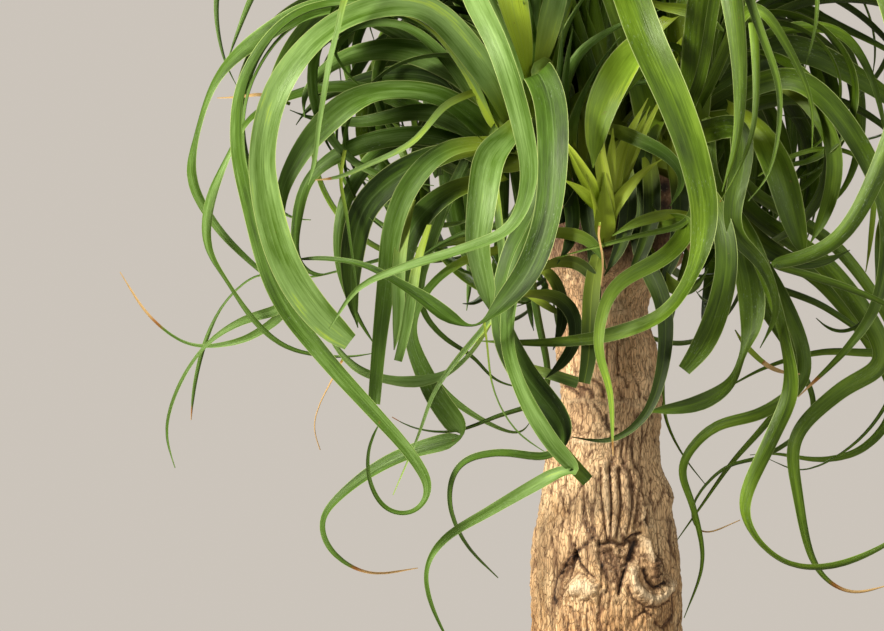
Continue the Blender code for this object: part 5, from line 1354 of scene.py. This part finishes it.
# %% Knots, ribs and grooves that show
BARK_LINES = [
    # The long folded ribs below the narrow waist, their pale edges a painted highlight, and the grooves between
    # them
    (-2.4, 3.2, 0, 0.5, (605, 463), (606, 490), (608, 517), (610, 538)),
    (-2.4, 3.0, 0, 0.4, (614, 468), (616, 500), (615, 520), (613, 536)),
    (-1.6, 3.6, 0, 0.2, (625, 466), (627, 490), (627, 515), (624, 534)),
    (1.8, 1.3, 0.9, 0, (601, 468), (601, 495), (604, 520), (607, 541)),
    (2.0, 1.2, 1.0, 0, (610, 466), (611, 495), (611, 520), (610, 542)),
    (1.8, 1.3, 0.9, 0, (620, 468), (621, 495), (620, 518), (616, 538)),
    (1.6, 1.3, 0.8, 0, (631, 470), (633, 495), (631, 515), (627, 533)),
    (1.6, 1.4, 0.8, 0, (582, 480), (583, 500), (587, 520), (595, 541)),
    (1.4, 1.3, 0.7, 0, (567, 468), (563, 495), (561, 532)),
    (1.2, 1.2, 0.6, 0, (575, 500), (574, 520), (570, 545)),
    (1.5, 1.3, 0.8, 0, (644, 468), (643, 490), (646, 505)),
    (1.2, 1.2, 0.7, 0, (652, 478), (652, 500), (656, 512)),
    (1.4, 1.3, 0.7, 0, (640, 488), (637, 510), (634, 530)),
    # The rough cleft across the trunk above the knots
    (2.6, 3.0, 0.75, 0, (602, 545), (612, 541), (622, 546), (630, 541)),
    (1.8, 2.2, 0.7, 0, (598, 556), (608, 552), (617, 558), (624, 566)),
    (2.2, 1.8, 0.9, 0, (625, 570), (622, 582), (619, 594)),
    (1.4, 1.6, 0.6, 0, (600, 560), (604, 572), (612, 584)),
    # Left knot: a pointed hollow over a pale crescent
    (3.6, 4.2, 0.85, 0, (573, 557), (568, 567), (561, 574)),
    (3.0, 1.6, 1.0, 0, (574, 551), (572, 564), (569, 577), (562, 590)),
    (2.6, 1.4, 1.0, 0, (575, 552), (580, 563), (587, 572), (595, 578)),
    (-5.2, 9.0, 0, 1.0, (574, 588), (581, 585), (588, 587)),
    (1.3, 1.1, 0.7, 0, (569, 583), (573, 577), (579, 572), (586, 575), (593, 582)),
    (1.6, 1.6, 0.7, 0, (569, 586), (562, 594), (555, 603)),
    (1.0, 1.1, 0.5, 0, (568, 592), (576, 600), (586, 601), (595, 596)),
    # Right knot: a broken stub with a dark oval scar, held in a pale collar
    (5.5, 5.8, 1.0, 0, (637, 543), (633, 551), (631, 560)),
    (3.0, 2.0, 1.0, 0, (627, 541), (633, 535), (641, 533)),
    (-6.0, 4.4, 0, 0.1, (646, 543), (648, 552), (652, 562)),
    (-5.0, 8.0, 0.3, 0, (655, 567), (657, 575)),
    (-4.4, 5.2, 0, 1.0, (632, 570), (634, 583), (642, 594), (654, 599), (665, 594), (671, 585)),
    (1.6, 1.3, 0.8, 0, (628, 585), (633, 598), (646, 607), (660, 607), (671, 600)),
    (1.0, 0.9, 0.6, 0, (640, 575), (641, 585), (649, 593), (659, 594)),
    (-2.6, 2.6, 0, 0.9, (644, 541), (646, 550), (649, 559)),
    (1.6, 7.0, 0.66, 0, (654, 564), (656, 578)),
    (3.6, 2.0, 1.0, 0, (655, 554), (663, 560), (667, 571), (664, 583), (656, 588), (648, 581), (645, 570)),
    (1.4, 1.2, 1.0, 0, (652, 565), (658, 566), (660, 573), (655, 578)),
    (1.6, 2.2, 1.0, 0, (629, 560), (625, 572), (620, 592)),
    (1.4, 1.6, 0.9, 0, (598, 545), (610, 543), (622, 545), (630, 540)),
    (1.4, 1.5, 0.9, 0, (603, 552), (607, 563), (615, 567), (618, 576)),
    # The folds over the left knot
    (1.4, 1.5, 1.0, 0, (573, 552), (563, 564), (556, 577), (553, 600)),
    (1.4, 1.4, 1.0, 0, (573, 553), (579, 562), (587, 572)),
    (0.4, 3.4, 0.6, 0, (567, 566), (562, 578), (558, 592)),
    # A pale bud scar under the young shoot
    (-3.0, 8.0, 0, 0.55, (608, 300), (615, 306), (621, 311)),
    # The left side of the narrow top, in the shade of the leaves
    (0.4, 13, 0.56, 0, (556, 268), (562, 300), (562, 340)),
    (0.3, 9, 0.46, 0, (562, 340), (560, 372)),
    # Rough brown bark between and beside the knots
    (0.4, 11, 0.62, 0, (603, 550), (615, 558), (619, 580)),
    (0.3, 8, 0.46, 0, (553, 550), (558, 568)),
    (0.3, 7, 0.44, 0, (590, 549), (594, 562)),
    # Pits and short cracks
    (2.6, 3.0, 0.9, 0, (649, 514), (649, 521)),
    (-1.6, 1.6, 0, 0.5, (645, 512), (643, 520), (647, 528), (653, 526)),
    (2.8, 2.4, 0.95, 0, (606, 416), (606, 424), (611, 430), (617, 429)),
    (-2.4, 4.4, 0, 0.3, (612, 410), (614, 419)),
    (1.8, 1.8, 0.8, 0, (637, 617), (645, 611), (652, 616)),
    (1.6, 1.6, 0.8, 0, (587, 610), (586, 622), (587, 640)),
    (1.6, 1.8, 0.8, 0, (655, 622), (662, 628), (670, 626)),
    (1.3, 1.4, 0.7, 0, (600, 600), (598, 615), (603, 632)),
    # The rough broken rings of the upper trunk, whose dark dashes are partly painted shadow under the rings
    (2.4, 2.6, 0.9, 0, (563, 386), (571, 389), (576, 394)),
    (2.2, 2.2, 0.9, 0, (578, 387), (588, 390), (592, 397)),
    (2.4, 2.4, 0.8, 0, (593, 380), (601, 386), (604, 396)),
    (1.8, 1.6, 0.8, 0, (617, 374), (624, 378), (628, 387)),
    (1.8, 1.6, 0.8, 0, (633, 376), (640, 386), (641, 398)),
    (2.0, 2.0, 0.7, 0, (645, 398), (652, 404), (658, 402)),
    (-2.2, 4.5, 0.1, 0.2, (566, 378), (590, 376), (612, 380), (640, 376), (655, 384)),
    (-1.6, 3.2, 0, 0.35, (568, 402), (585, 400), (600, 404), (625, 402), (645, 410)),
    (1.6, 1.6, 0.8, 0, (594, 405), (600, 412), (603, 420)),
    (1.4, 1.3, 0.7, 0, (580, 404), (582, 420), (580, 430)),
    (1.2, 1.4, 0.6, 0, (570, 431), (580, 435), (590, 432)),
    (1.2, 1.4, 0.6, 0, (597, 436), (608, 439), (622, 434)),
    (-1.6, 2.4, 0, 0.7, (573, 441), (588, 443), (603, 440), (618, 442)),
    (1.4, 1.4, 0.7, 0, (662, 415), (660, 440), (658, 465)),
    (1.3, 1.2, 0.7, 0, (624, 442), (622, 455), (625, 468)),
    (1.3, 1.2, 0.7, 0, (640, 438), (642, 452), (639, 466)),
    (-1.8, 2.4, 0, 0.3, (612, 345), (612, 362), (611, 378)),
    (1.4, 1.2, 0.8, 0, (607, 345), (607, 364), (605, 378)),
    (1.4, 1.2, 0.8, 0, (617, 342), (618, 360), (619, 372)),
    (1.2, 1.2, 0.6, 0, (650, 340), (650, 362), (648, 378)),
]
SHEET_DETAIL = 330
RAGGED = 0.9


def unrolled(across, down):
    """The place on the unrolled trunk that shows at a place of the picture."""
    near = 0.04
    for _ in range(6):
        point = sighted(across, down, near)
        lean, radius = trunk_section(min(point.z, TRUNK_SECTIONS[-1][0]))
        sideways = max(-0.97, min(0.97, (point.x - lean) / radius))
        near = radius * math.sqrt(1 - sideways * sideways)
    return math.asin(sideways) * radius, point.z


def distance_to(path):
    """How far each point of the trunk's sheet is from a path on it."""
    best = np.full(HEIGHT.shape, 1.0)
    places = [unrolled(*place) for place in path]
    for (u0, v0), (u1, v1) in zip(places, places[1:]):
        du, dv = u1 - u0, v1 - v0
        share = np.clip(((ROUND - u0) * du + (HEIGHT - v0) * dv) / (du * du + dv * dv), 0, 1)
        best = np.minimum(best, np.hypot(ROUND - u0 - share * du, HEIGHT - v0 - share * dv))
    return best


drawn_out, drawn_dark, drawn_pale = (np.zeros(HEIGHT.shape) for _ in range(3))
ragged = [noise.noise(Vector((u * SHEET_DETAIL, v * SHEET_DETAIL, 5)))
          for u, v in zip(ROUND.ravel(), HEIGHT.ravel())]
ragged = 1 + RAGGED * np.array(ragged).reshape(HEIGHT.shape)
for deep, wide, dark, pale, *path in BARK_LINES:
    near = np.exp(-(distance_to(path) / (wide * PIXEL) * ragged) ** 2)
    drawn_out -= deep * MILLIMETRE * near
    drawn_dark = np.maximum(drawn_dark * (1 - pale * near), dark * near)
    drawn_pale = np.maximum(drawn_pale * (1 - dark * near), pale * near)
print("bark lines:", len(BARK_LINES))

# %% [markdown]
# The rest of the bark is drawn from noise. Cells stretched upward become plates with cracks between them, two
# finer sets break the plates up, and a fine rough grain covers all. Knots go round the back as well: each row
# of FAR_KNOTS is its angle in degrees, height, half width, half height and how far it stands out, in metres.
# The noise that warps the plates starts from the clock, so it gets a seed and the bark comes out the same
# each time.

# %% Plates, cracks and grain
BARK_STARTS = 0.226
RIDGE_COUNT = 9
RIDGE_DEPTH = 0.0016
BARK_SEED = 7
PLATE_WARP = 0.55
CRACK_WIDTH = 0.24
RING_STEP = 0.0058
YOUNG_FROM, YOUNG_TO = 0.585, 0.670
# Painted shade on the trunk's top: the heights where it starts and ends, and how dark it gets.
SHADE_FROM, SHADE_TO, SHADE_DEPTH = 0.722, 0.792, 0.90
BARK_FADE = 0.02
TOP_FADE = (0.030, 0.008)
FAR_KNOTS = [
    (-24, 0.586, 0.012, 0.010, 0.005), (60, 0.56, 0.014, 0.013, 0.0055), (150, 0.47, 0.015, 0.014, 0.006),
    (105, 0.4, 0.016, 0.012, 0.005), (-150, 0.36, 0.018, 0.014, 0.0055), (-60, 0.33, 0.018, 0.012, 0.005),
    (10, 0.3, 0.020, 0.014, 0.006), (60, 0.556, 0.006, 0.005, -0.005), (150, 0.465, 0.006, 0.006, -0.0055),
    (105, 0.396, 0.006, 0.005, -0.0045), (-150, 0.356, 0.007, 0.005, -0.005),
    (10, 0.296, 0.007, 0.006, -0.005)]


def plates(x, y, z, across, upward):
    """0 in the middle of a bark plate, rising to 1 in the crack between two."""
    place = Vector((x * across, y * across, z * upward))
    place += PLATE_WARP * noise.noise_vector(place * 0.7)
    near = noise.voronoi(place)[0]
    return (1 - min(1, (near[1] - near[0]) / CRACK_WIDTH)) ** 1.8


def bark_at(angle, height, radius):
    """How far the bark stands out, how deep a crack it is in, and how raised it is, from noise alone."""
    x, y = radius * math.cos(angle), radius * math.sin(angle)
    young = float(ramp(height, YOUNG_FROM, YOUNG_TO))
    patch = noise.noise(Vector((x * 28, y * 28, height * 18)))
    first = plates(x, y, height, 95, 22)
    second = plates(x + 3, y, height, 220, 42)
    third = plates(x + 5, y, height, 440, 95)
    swell = noise.noise(Vector((x * 60, y * 60, height * 26)))
    grain = noise.fractal(Vector((x * 420, y * 420, height * 300)), 0.7, 2.1, 3)
    wander = noise.noise(Vector((x * 40, y * 40, height * 40)))
    ring = math.sin(2 * math.pi * height / RING_STEP + 2.2 * wander)
    ring *= 0.3 + 0.7 * young
    out = 0.0007 * swell * (1 - 0.5 * young) + 0.00040 * grain + 0.00022 * ring
    out -= 0.0018 * first * (0.55 + 0.45 * patch) * (1 - 0.45 * young) + 0.0009 * second * (1 - 0.3 * young)
    out -= 0.00040 * third
    crack = first * (0.62 + 0.35 * patch) * (1 - 0.35 * young) + 0.30 * second + 0.12 * third
    return out, crack, 0.5 + 0.5 * swell + 0.35 * grain


noise.seed_set(BARK_SEED)
grid = zip(ANGLE.ravel().tolist(), HEIGHT.ravel().tolist(), RADIUS.ravel().tolist())
noise_out, noise_crack_and_shade, noise_high = (
    np.array(column).reshape(HEIGHT.shape) for column in zip(*(bark_at(*place) for place in grid)))
drift = 0.5 * np.sin(21 * HEIGHT) + 0.35 * np.sin(47 * HEIGHT + 1)
ridges = np.sin(RIDGE_COUNT * ANGLE + 3 * drift) * (0.6 + 0.4 * np.sin(2 * ANGLE + 60 * HEIGHT))
bands = np.sin(330 * HEIGHT + np.sin(3 * ANGLE))
relief = RIDGE_DEPTH * (0.7 * ridges + 0.15 * bands) + noise_out + drawn_out
for degrees, middle, half_width, half_height, proud in FAR_KNOTS:
    turn = (ANGLE - math.radians(degrees) + math.pi) % (2 * math.pi) - math.pi
    near = np.exp(-(turn * RADIUS / half_width) ** 2 - ((HEIGHT - middle) / half_height) ** 2)
    relief += proud * near
    if proud < 0:
        drawn_dark = np.maximum(drawn_dark, near)
fade = ramp(HEIGHT, BARK_STARTS - BARK_FADE, BARK_STARTS + BARK_FADE)
fade = fade * ramp(HEIGHT, TRUNK_TOP - TOP_FADE[1], TRUNK_TOP - TOP_FADE[0])
OUTER = RADIUS + fade * relief
points = np.stack([leans[:, None] + OUTER * np.cos(ANGLE), OUTER * np.sin(ANGLE), HEIGHT], axis=2)
# Painted shade: the top of the trunk, under the head, is darkened towards black through the crack mark.
drawn_dark = np.maximum(drawn_dark, SHADE_DEPTH * ramp(HEIGHT + 0.02 * noise_high, SHADE_FROM, SHADE_TO))
crack_and_shade = np.clip(np.maximum(noise_crack_and_shade * (1 - 0.85 * drawn_pale), drawn_dark), 0, 1)
marks = np.stack([crack_and_shade, drawn_pale, np.clip(noise_high, 0, 1)], axis=2)
caps = []
for share in (0.8, 0.5, 0.2):
    cap = points[-1] * (share, share, 1)
    cap[:, 2] = TRUNK_TOP - (TRUNK_TOP - TRUNK_SECTIONS[-1][0]) * share ** 2
    caps.append(cap)
points = np.concatenate([points, np.array(caps)])
marks = np.concatenate([marks, np.tile(marks[-1:], (len(caps), 1, 1))])
trunk_shape = points.reshape(-1, 3).tolist(), skinned(points), marks.reshape(-1, 3).tolist()
print("deepest crack:", round(float(relief.min()) / MILLIMETRE, 1), "mm")

# %% [markdown]
# Between the trunk and each crown is a short woody arm, ringed by the scars of old leaves. The arms only have
# to meet the trunk, not be cut into it, because nothing shows of the joint below the bark.
# The arms are painted nearly black-brown as the shade inside the head.

# %% Arms, and the whole trunk as one piece
ARM_SIDES = 48
ARM_STEP = 0.0024
ARM_FLARE = 0.25
SCAR_STEP = 0.0068
SCAR_WAVE = 0.0006
SCAR_ROUGHNESS = 0.0012


def arm_skin(name):
    """Points, faces and bark marks of the arm between the trunk and a crown, its marks dark as painted shade.
    """
    start, foot, _ = stem_points(name)
    radius = STEMS[name]["radius"]
    count = max(12, round((foot - start).length / ARM_STEP))
    shares = [step / count for step in range(count + 1)]
    line = [start.lerp(foot, share) for share in shares]
    arm_radii = [radius * (1 + ARM_FLARE - ARM_FLARE * float(ramp(share, 0, 0.8))) for share in shares]

    def scars(turn, step):
        rough = noise.fractal(Vector((math.cos(turn) * 3, math.sin(turn) * 3, step * 0.24)), 0.8, 2.1, 3)
        wave = math.sin(2 * math.pi * step * ARM_STEP / SCAR_STEP + 1.6 * rough + 0.8 * math.sin(turn))
        return SCAR_WAVE * wave + SCAR_ROUGHNESS * rough

    arm_points, arm_faces = tube(line, arm_radii, ARM_SIDES, scars)
    # Painted shade: the arms' marks darken them as if deep in the head's shade.
    arm_shade_marks = [(0.80 + 0.30 * noise.noise(Vector(point) * 140), 0, 0.3) for point in arm_points]
    return arm_points, arm_faces, arm_shade_marks


all_points, all_faces, all_marks = [], [], []
for shape_points, shape_faces, shape_marks in [trunk_shape] + [arm_skin(name) for name in STEMS]:
    offset = len(all_points)
    all_points += shape_points
    all_marks += shape_marks
    all_faces += renumbered(shape_faces, offset)
trunk = marked_piece("trunk_bark", all_points, all_faces, {"bark_mark": all_marks})
print("trunk:", triangles_in(trunk), "triangles")

# %% [markdown]
# Bark colour goes by height and by crack: tan and grey where the old bark has weathered, browner towards the
# top where it is young, and pale on the collars of the knots. Above 0.48 m it is painted paler, as painted
# light against the shade of the leaves. The crack mark darkens it to nearly black: partly painted shade at the
# bottom of a fissure and in sunken knots, and wholly painted shade on the top of the trunk and on the arms.

# %% Finish of the bark


def bark_finish():
    material, start, shader = new_finish("corky bark", 0.85)
    crack, pale, high = start.node("Attribute", {"attribute_name": "bark_mark"}, output=1).parts()
    place = start.node("TexCoord", output=3)
    height = place.parts()[2]
    wobble = start.node("TexNoise", {}, {"Vector": place, "Scale": 90}, output=1)
    warp = start.node("VectorMath", {"operation": "SCALE"}, {0: wobble, "Scale": 0.004})
    warped = start.node("VectorMath", {"operation": "ADD"}, {0: place, 1: warp})
    stretched = start.node("VectorMath", {"operation": "MULTIPLY"}, {0: warped, 1: (460, 460, 95)})
    edges = start.node("TexVoronoi", {"feature": "DISTANCE_TO_EDGE"}, {"Vector": stretched, "Scale": 1.0})
    hairline = edges.within(0.10, 0.0)
    fibres = start.noise(warped, 1.0, detail=5, roughness=0.65, stretch=(380, 380, 42))
    blotches = start.noise(place, 34, detail=4, roughness=0.6)
    flecks = start.noise(place, 420, detail=3, roughness=0.6)

    tint = fibres * 0.40 + blotches * 0.30 + high * 0.30
    old = tint.ramp((0.30, (150, 106, 58)), (0.46, (196, 152, 100)), (0.62, (226, 190, 138)))
    young = tint.ramp((0.30, (168, 110, 64)), (0.46, (222, 166, 110)), (0.62, (244, 204, 152)))
    upper = (height + (blotches - 0.5) * 0.08).within(0.600, 0.690)
    feed(shader, "Base Color", upper.blend(old, young).stained(
        # Painted light: paler above 0.48 m, against the shade that the leaves cast.
        (height.within(0.48, 0.58) * 0.42, (242, 208, 160)),
        (blotches.within(0.56, 0.66) * 0.35, (176, 124, 58)),
        (pale * 0.85, (230, 204, 162)),
        (hairline * 0.52 * (1 - pale * 0.7), (112, 72, 36)),
        # Painted shade: the crack mark darkens fissures and sunken knots, the trunk's top and the arms.
        (crack.within(0.16, 0.76) * 0.84, (86, 50, 22)),
        (crack.within(0.70, 1.0), (36, 22, 12)),
        (flecks.within(0.60, 0.74) * 0.25, (232, 210, 176))))
    feed(shader, "Roughness", 0.74 + flecks * 0.22)
    bumped(shader, fibres * 0.6 + flecks * 0.35 - hairline * 0.5, 0.0016, 0.9)
    return material


trunk.data.materials.append(bark_finish())
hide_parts("trunk")
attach(trunk, "root")
print("bark finished")

# %% [markdown]
# ## The pot and its soil
# The photograph stops above the pot, so it is a plain one: a tapered body with a low rim and four drain
# holes, cast in a matt warm grey. It is turned from one profile with rounded edges, so light catches the rim
# as it does on a real casting, and the holes are cut through with a boolean.

# %% Turn the pot
POT_HEIGHT = 0.235
POT_TOP_RADIUS = 0.145
POT_BASE_RADIUS = 0.105
POT_WALL = 0.008
POT_FLOOR = 0.012
RIM_HEIGHT = 0.028
RIM_STEP = 0.004
RIM_DRAFT = 0.001
AXIS_GAP = 0.004
EDGE = 0.003
POT_SIDES = 144
POT_CREASE = math.radians(40)
DRAIN_COUNT = 4
DRAIN_SIDES = 40
DRAIN_RADIUS = 0.006
DRAIN_CIRCLE = 0.055


def wall_radius(height):
    """The outer radius of the tapered wall below the rim."""
    return POT_BASE_RADIUS + (POT_TOP_RADIUS - RIM_STEP - POT_BASE_RADIUS) * height / POT_HEIGHT


def inner_radius(height):
    return wall_radius(height) - POT_WALL


def circle(radius, sides, height):
    """Points round the axis. Height is a number, or a function of x and y."""
    ring = []
    for place in range(sides):
        angle = 2 * math.pi * place / sides
        x, y = radius * math.cos(angle), radius * math.sin(angle)
        ring.append((x, y, height(x, y) if callable(height) else height))
    return ring


def rounded(corners, radius, steps=5):
    """A profile whose inner corners are rounded off."""
    path = [corners[0]]
    for before, corner, after in zip(corners, corners[1:], corners[2:]):
        corner = Vector(corner)
        back = Vector(before) - corner
        ahead = Vector(after) - corner
        cut = min(radius, 0.45 * back.length, 0.45 * ahead.length)
        first = corner + back.normalized() * cut
        last = corner + ahead.normalized() * cut
        for step in range(steps + 1):
            s = step / steps
            path.append(tuple((1 - s) ** 2 * first + 2 * s * (1 - s) * corner + s * s * last))
    return path + [corners[-1]]


def added(name, points, faces, finish, node):
    """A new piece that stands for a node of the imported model."""
    piece = marked_piece(name, points, faces, {})
    piece.data.set_sharp_from_angle(angle=POT_CREASE)
    piece.data.materials.append(finish)
    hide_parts(node)
    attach(piece, "root")
    return piece


rim_foot = POT_HEIGHT - RIM_HEIGHT
profile = rounded([
    (AXIS_GAP, 0), (POT_BASE_RADIUS, 0), (wall_radius(rim_foot), rim_foot),
    (POT_TOP_RADIUS - RIM_DRAFT, rim_foot + RIM_DRAFT), (POT_TOP_RADIUS, POT_HEIGHT),
    (inner_radius(POT_HEIGHT), POT_HEIGHT), (inner_radius(POT_FLOOR), POT_FLOOR),
    (AXIS_GAP, POT_FLOOR)], EDGE)
rings = [circle(radius, POT_SIDES, height) for radius, height in profile]
print("pot profile:", len(profile), "points")

# %% [markdown]
# The casting is one warm grey with slow clouds and faint turning lines. It has fine pores, a foot that is
# darker towards the bottom and a rim that wear has made paler.

# %% Finish of the pot, and its drain holes


def pot_finish():
    material, start, shader = new_finish("matt warm grey casting", 0.8)
    place = start.node("TexCoord", output=3)
    height = place.parts()[2]
    grain = start.noise(place, 900, detail=2, roughness=0.6)
    pores = start.noise(place, 260, detail=3, roughness=0.7)
    clouds = start.noise(place, 14, detail=5, roughness=0.6)
    turning = start.noise(place, 1.0, detail=3, stretch=(6, 6, 520))
    # Darker towards the bottom of the pot.
    darker_foot = (height + (clouds - 0.5) * 0.03).within(0.030, 0.004)
    worn = (height + (pores - 0.5) * 0.006).within(POT_HEIGHT - 0.004, POT_HEIGHT)
    feed(shader, "Base Color", (clouds * 0.7 + turning * 0.3).ramp(
        (0.30, (146, 137, 124)), (0.55, (176, 167, 153)), (0.75, (196, 188, 174))).stained(
            (pores.within(0.62, 0.72) * 0.5, (108, 98, 86)),
            (grain.within(0.60, 0.75) * 0.35, (216, 209, 197)),
            (darker_foot * 0.35, (112, 101, 86)),
            (worn * 0.4, (206, 198, 184))))
    feed(shader, "Roughness", 0.70 + grain * 0.22)
    bumped(shader, grain * 0.3 + turning * 0.4 - pores.within(0.60, 0.72) * 0.6, 0.0005, 0.6)
    return material


pot = added("plain_pot", joined(rings), skinned(rings), pot_finish(), "pot")
for place in range(DRAIN_COUNT):
    angle = 2 * math.pi * (place + 0.5) / DRAIN_COUNT
    middle = (DRAIN_CIRCLE * math.cos(angle), DRAIN_CIRCLE * math.sin(angle), POT_FLOOR / 2)
    bpy.ops.mesh.primitive_cylinder_add(vertices=DRAIN_SIDES, radius=DRAIN_RADIUS, depth=4 * POT_FLOOR,
                                        location=middle)
    cutter = bpy.context.object
    hole = pot.modifiers.new("drain hole", "BOOLEAN")
    hole.operation = "DIFFERENCE"
    hole.solver = "EXACT"
    hole.object = cutter
    bpy.context.view_layer.objects.active = pot
    bpy.ops.object.modifier_apply(modifier=hole.name)
    bpy.data.objects.remove(cutter)
print("pot:", triangles_in(pot), "triangles")

# %% [markdown]
# The soil is a loose dark mix. Its surface is a fine ring grid that noise lifts into crumbs, higher near the
# trunk and lower at the wall. Chips of bark and grit lie on it, each a small irregular lump half sunk in.

# %% Soil and chips
SOIL_LEVEL = 0.212
SEAT_GAP = 0.0003
SOIL_BOTTOM = POT_FLOOR + SEAT_GAP
SOIL_HOLE = 0.078
SOIL_SIDES = 300
SOIL_RINGS = 52
CHIP_COUNT = 260
CHIP_SEED = 3
CHIP_SIZES = (0.0012, 0.0042)
CHIP_INNER = 0.094
CHIP_MARGIN = 0.005
CHIP_ROWS = 6
CHIP_SIDES = 9


def soil_height(x, y):
    """The height of the crumbled surface, gently banked towards the trunk."""
    bank = 0.004 * ramp(math.hypot(x, y), 0.135, 0.100)
    lumps = 0.0030 * noise.noise(Vector((x * 38, y * 38, 1)))
    crumbs = 0.0026 * noise.fractal(Vector((x * 150, y * 150, 4)), 0.7, 2.1, 4)
    return SOIL_LEVEL - 0.001 + bank + lumps + crumbs


def chip_rings(draw, reach):
    """Rings of one irregular chip, somewhere on the soil between the trunk and reach."""
    distance = math.sqrt(draw.uniform(CHIP_INNER ** 2, reach ** 2))
    angle = draw.uniform(0, 2 * math.pi)
    middle = Vector((distance * math.cos(angle), distance * math.sin(angle), 0))
    middle.z = soil_height(middle.x, middle.y)
    size = draw.uniform(*CHIP_SIZES)
    stretch = Vector((1, draw.uniform(0.45, 0.9), draw.uniform(0.25, 0.6))) * size
    turn = draw.uniform(0, math.pi)
    chip = []
    for row in range(CHIP_ROWS):
        tilt = math.pi * row / (CHIP_ROWS - 1)
        level = math.sin(tilt)
        ring = []
        for place in range(CHIP_SIDES):
            around = 2 * math.pi * place / CHIP_SIDES
            sphere = Vector((level * math.cos(around), level * math.sin(around), math.cos(tilt)))
            lump = 1 + 0.45 * noise.noise(sphere * 1.7 + middle * 900)
            local = sphere * stretch * lump
            ring.append((middle.x + local.x * math.cos(turn) - local.y * math.sin(turn),
                         middle.y + local.x * math.sin(turn) + local.y * math.cos(turn), middle.z + local.z))
        chip.append(ring)
    return chip


outer = inner_radius(SOIL_LEVEL) - SEAT_GAP
rings = [circle(AXIS_GAP, SOIL_SIDES, SOIL_BOTTOM),
         circle(inner_radius(SOIL_BOTTOM) - SEAT_GAP, SOIL_SIDES, SOIL_BOTTOM)]
for radius in np.linspace(outer, SOIL_HOLE, SOIL_RINGS):
    rings.append(circle(float(radius), SOIL_SIDES, soil_height))
points, faces = joined(rings), skinned(rings)
draw = random.Random(CHIP_SEED)
for _ in range(CHIP_COUNT):
    chip = chip_rings(draw, outer - CHIP_MARGIN)
    faces += renumbered(skinned(chip), len(points))
    points += joined(chip)
print("soil surface:", SOIL_RINGS, "rings and", CHIP_COUNT, "chips")

# %% [markdown]
# The mix is dark brown. Voronoi cells give single bits a colour of their own: a few are pale bark, and a very
# few are white grit.

# %% Finish of the soil


def soil_finish():
    material, start, shader = new_finish("dark potting mix", 0.95)
    place = start.node("TexCoord", output=3)
    crumbs = start.noise(place, 120, detail=5, roughness=0.7)
    pick = start.node("TexVoronoi", {}, {"Vector": place, "Scale": 330}, output=1).parts()[0]
    feed(shader, "Base Color", (crumbs * 0.75 + pick * 0.25).ramp(
        (0.25, (30, 21, 15)), (0.55, (62, 45, 32)), (0.80, (96, 73, 52))).stained(
            (pick.within(0.90, 0.96) * 0.8, (150, 124, 92)),
            (pick.within(0.985, 0.992) * 0.9, (214, 210, 200))))
    feed(shader, "Roughness", 0.80 + crumbs * 0.2)
    bumped(shader, crumbs * 0.7 + pick * 0.3, 0.0014, 0.9)
    return material


soil = added("potting_soil", points, faces, soil_finish(), "soil")
print("soil:", triangles_in(soil), "triangles")

# %% [markdown]
# The floor is a round pale slab, small enough that its far edge stays below the picture. It is stage, not
# part of the plant.

# %% Floor
FLOOR_RADIUS = 2.6
FLOOR_SIDES = 160
FLOOR_DROP = 0.0005
bpy.ops.mesh.primitive_circle_add(vertices=FLOOR_SIDES, radius=FLOOR_RADIUS, fill_type="NGON",
                                  location=(0, 0, -FLOOR_DROP))
floor = bpy.context.object
floor.name = "floor"


def floor_finish():
    material, start, shader = new_finish("pale studio floor", 0.7)
    clouds = start.noise(start.node("TexCoord", output=3), 1.2, detail=3)
    feed(shader, "Base Color", clouds.blend((158, 154, 147), (168, 164, 157)))
    return material


floor.data.materials.append(floor_finish())
print("floor:", FLOOR_RADIUS, "m")

# %% Update the scene
bpy.context.view_layer.update()
